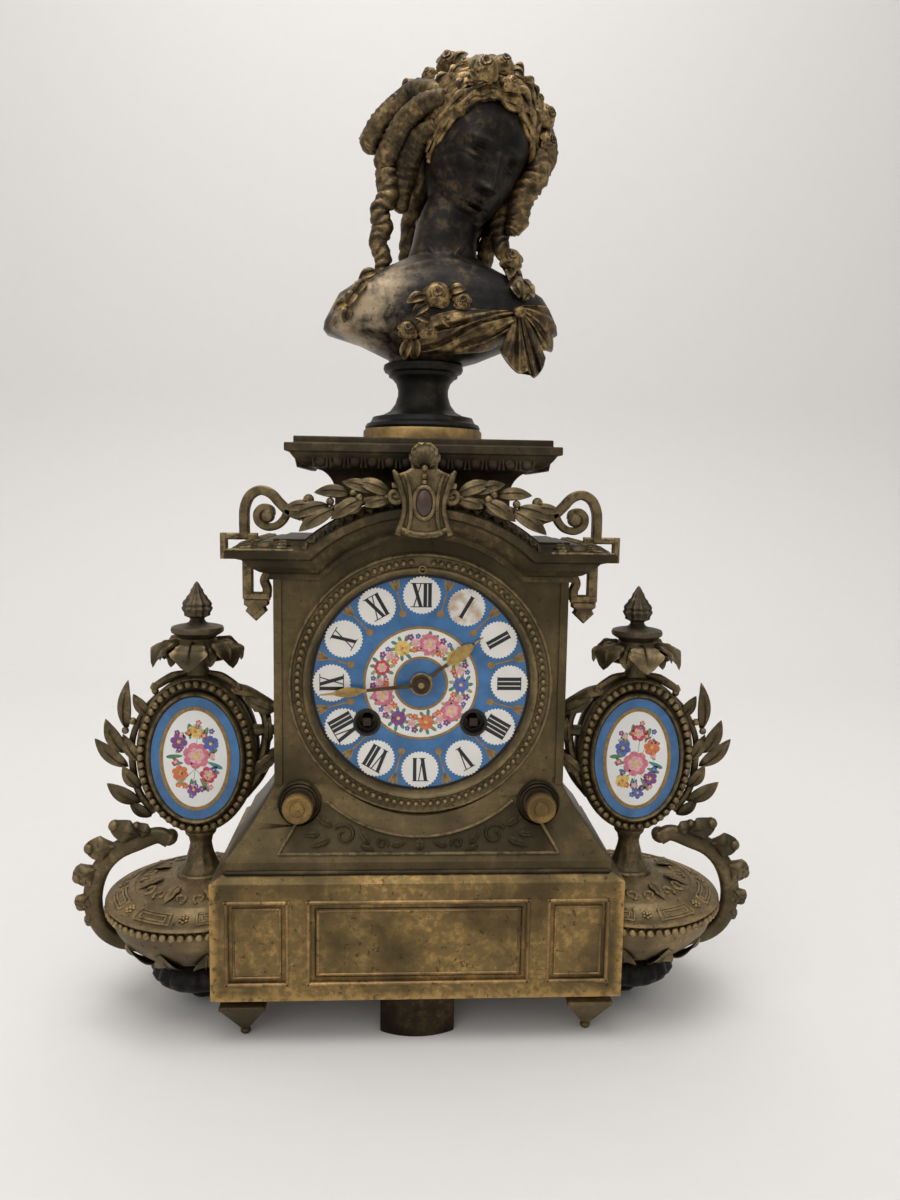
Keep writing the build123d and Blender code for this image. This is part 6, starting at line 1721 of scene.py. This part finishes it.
bandGold = giltMaterial("bandGold", (0.19, 0.125, 0.05), (0.38, 0.245, 0.095), (0.6, 0.39, 0.15),
                        patch=60.0)
socle = newPiece()
bandProfile = [(0, 228.5), (23.3, 228.5), (23.3, 232.4), (22.8, 233.2), (0, 233.2)]
socleProfile = [
    (0, 233.2), (22.3, 233.2), (22.6, 234.2), (22, 235.4), (20.8, 235.8), (20.2, 236.6), (19.6, 238),
    (16, 238.8), (13, 240.4), (10.9, 243.2), (9.9, 246.4), (9.8, 248.6), (10.6, 251.2), (12.2, 253),
    (13.4, 253.6), (13.6, 254.8), (15, 255.4), (15.6, 256.6), (15.4, 258), (14.6, 258.5), (0, 258.5),
]
for mat, profile in ((1, bandProfile), (0, socleProfile)):
    addTurned(socle, profile, (0, bustSet["y"], 0), sides=72, mat=mat)
makePiece("socle_turned", socle, [socleDark, bandGold], nodes=["bust_socle"], sharp=40)
print("bust done")


# floor, light and camera

stageSet = {"floorTone": 0.72, "wallAt": 0.95, "bend": 0.35, "wide": 3.0, "low": 0.25, "high": 0.8}
wallAt, bend, wide = stageSet["wallAt"], stageSet["bend"], stageSet["wide"]
rows = [(-2.2, 0.0)]
for i in range(13):
    a = pi / 2 * i / 12
    rows.append((wallAt - bend + bend * sin(a), bend * (1 - cos(a))))
rows += [(wallAt, bend + 1.2), (wallAt, bend + 2.4)]
points = [(x, y, z) for y, z in rows for x in (-wide, wide)]
faces = [(k, k + 1, k + 3, k + 2) for k in range(0, len(points) - 2, 2)]
mesh = bpy.data.meshes.new("backdrop")
mesh.from_pydata(points, [], faces)
mesh.polygons.foreach_set("use_smooth", [True] * len(faces))
tone = stageSet["floorTone"]
mesh.materials.append(coatMaterial("paper", (tone, tone * 0.975, tone * 0.95), 0.7, 0.0, 0.01))
backdrop = bpy.data.objects.new("backdrop", mesh)
bpy.context.collection.objects.link(backdrop)

world = bpy.data.worlds.new("studio")
bpy.context.scene.world = world
world.use_nodes = True
tree = world.node_tree
back = tree.nodes["Background"]
coord = tree.nodes.new("ShaderNodeTexCoord")
split = tree.nodes.new("ShaderNodeSeparateXYZ")
tree.links.new(coord.outputs["Generated"], split.inputs[0])
strength = tree.nodes.new("ShaderNodeMapRange")
for key, value in (("From Min", -0.1), ("From Max", 0.75), ("To Min", stageSet["low"]),
                   ("To Max", stageSet["high"])):
    strength.inputs[key].default_value = value
tree.links.new(split.outputs["Z"], strength.inputs["Value"])
back.inputs["Color"].default_value = (1.0, 0.995, 0.985, 1.0)
tree.links.new(strength.outputs["Result"], back.inputs["Strength"])


def softLight(name, spot, aim, size, watts):
    data = bpy.data.lights.new(name, "AREA")
    data.size = size
    data.energy = watts
    lamp = bpy.data.objects.new(name, data)
    lamp.location = spot
    lamp.rotation_euler = (Vector(aim) - Vector(spot)).to_track_quat("-Z", "Y").to_euler()
    bpy.context.collection.objects.link(lamp)


softLight("overhead", (-0.1, -0.22, 1.4), (0, 0, 0.15), 0.9, 9.0)
softLight("wallWash", (0.0, 0.35, 1.6), (0, 0.95, 1.2), 0.9, 5.0)
softLight("frontSoft", (-0.4, -1.1, 0.85), (0, 0, 0.15), 0.8, 2.2)

cameraSet = {"yaw": 3.24, "pitch": 6.65, "roll": -0.92, "spot": (-0.0085, -0.3629, 0.2082), "lens": 36.0}
yaw, pitch, roll = [radians(cameraSet[k]) for k in ("yaw", "pitch", "roll")]
ahead = Vector((sin(yaw) * cos(pitch), cos(yaw) * cos(pitch), -sin(pitch)))
right = Vector((cos(yaw), -sin(yaw), 0))
down = ahead.cross(right)
rightTilt = cos(roll) * right + sin(roll) * down
downTilt = -sin(roll) * right + cos(roll) * down
camData = bpy.data.cameras.new("camera")
camData.lens = cameraSet["lens"]
camData.sensor_width = 36.0
camData.sensor_fit = "HORIZONTAL"
camData.clip_start = 0.01
camera = bpy.data.objects.new("camera", camData)
axes = zip(rightTilt, -downTilt, -ahead, cameraSet["spot"])
camera.matrix_world = Matrix([*axes, (0, 0, 0, 1)])
bpy.context.collection.objects.link(camera)
bpy.context.scene.camera = camera
bpy.context.scene.view_settings.view_transform = "Standard"
print("stage set")
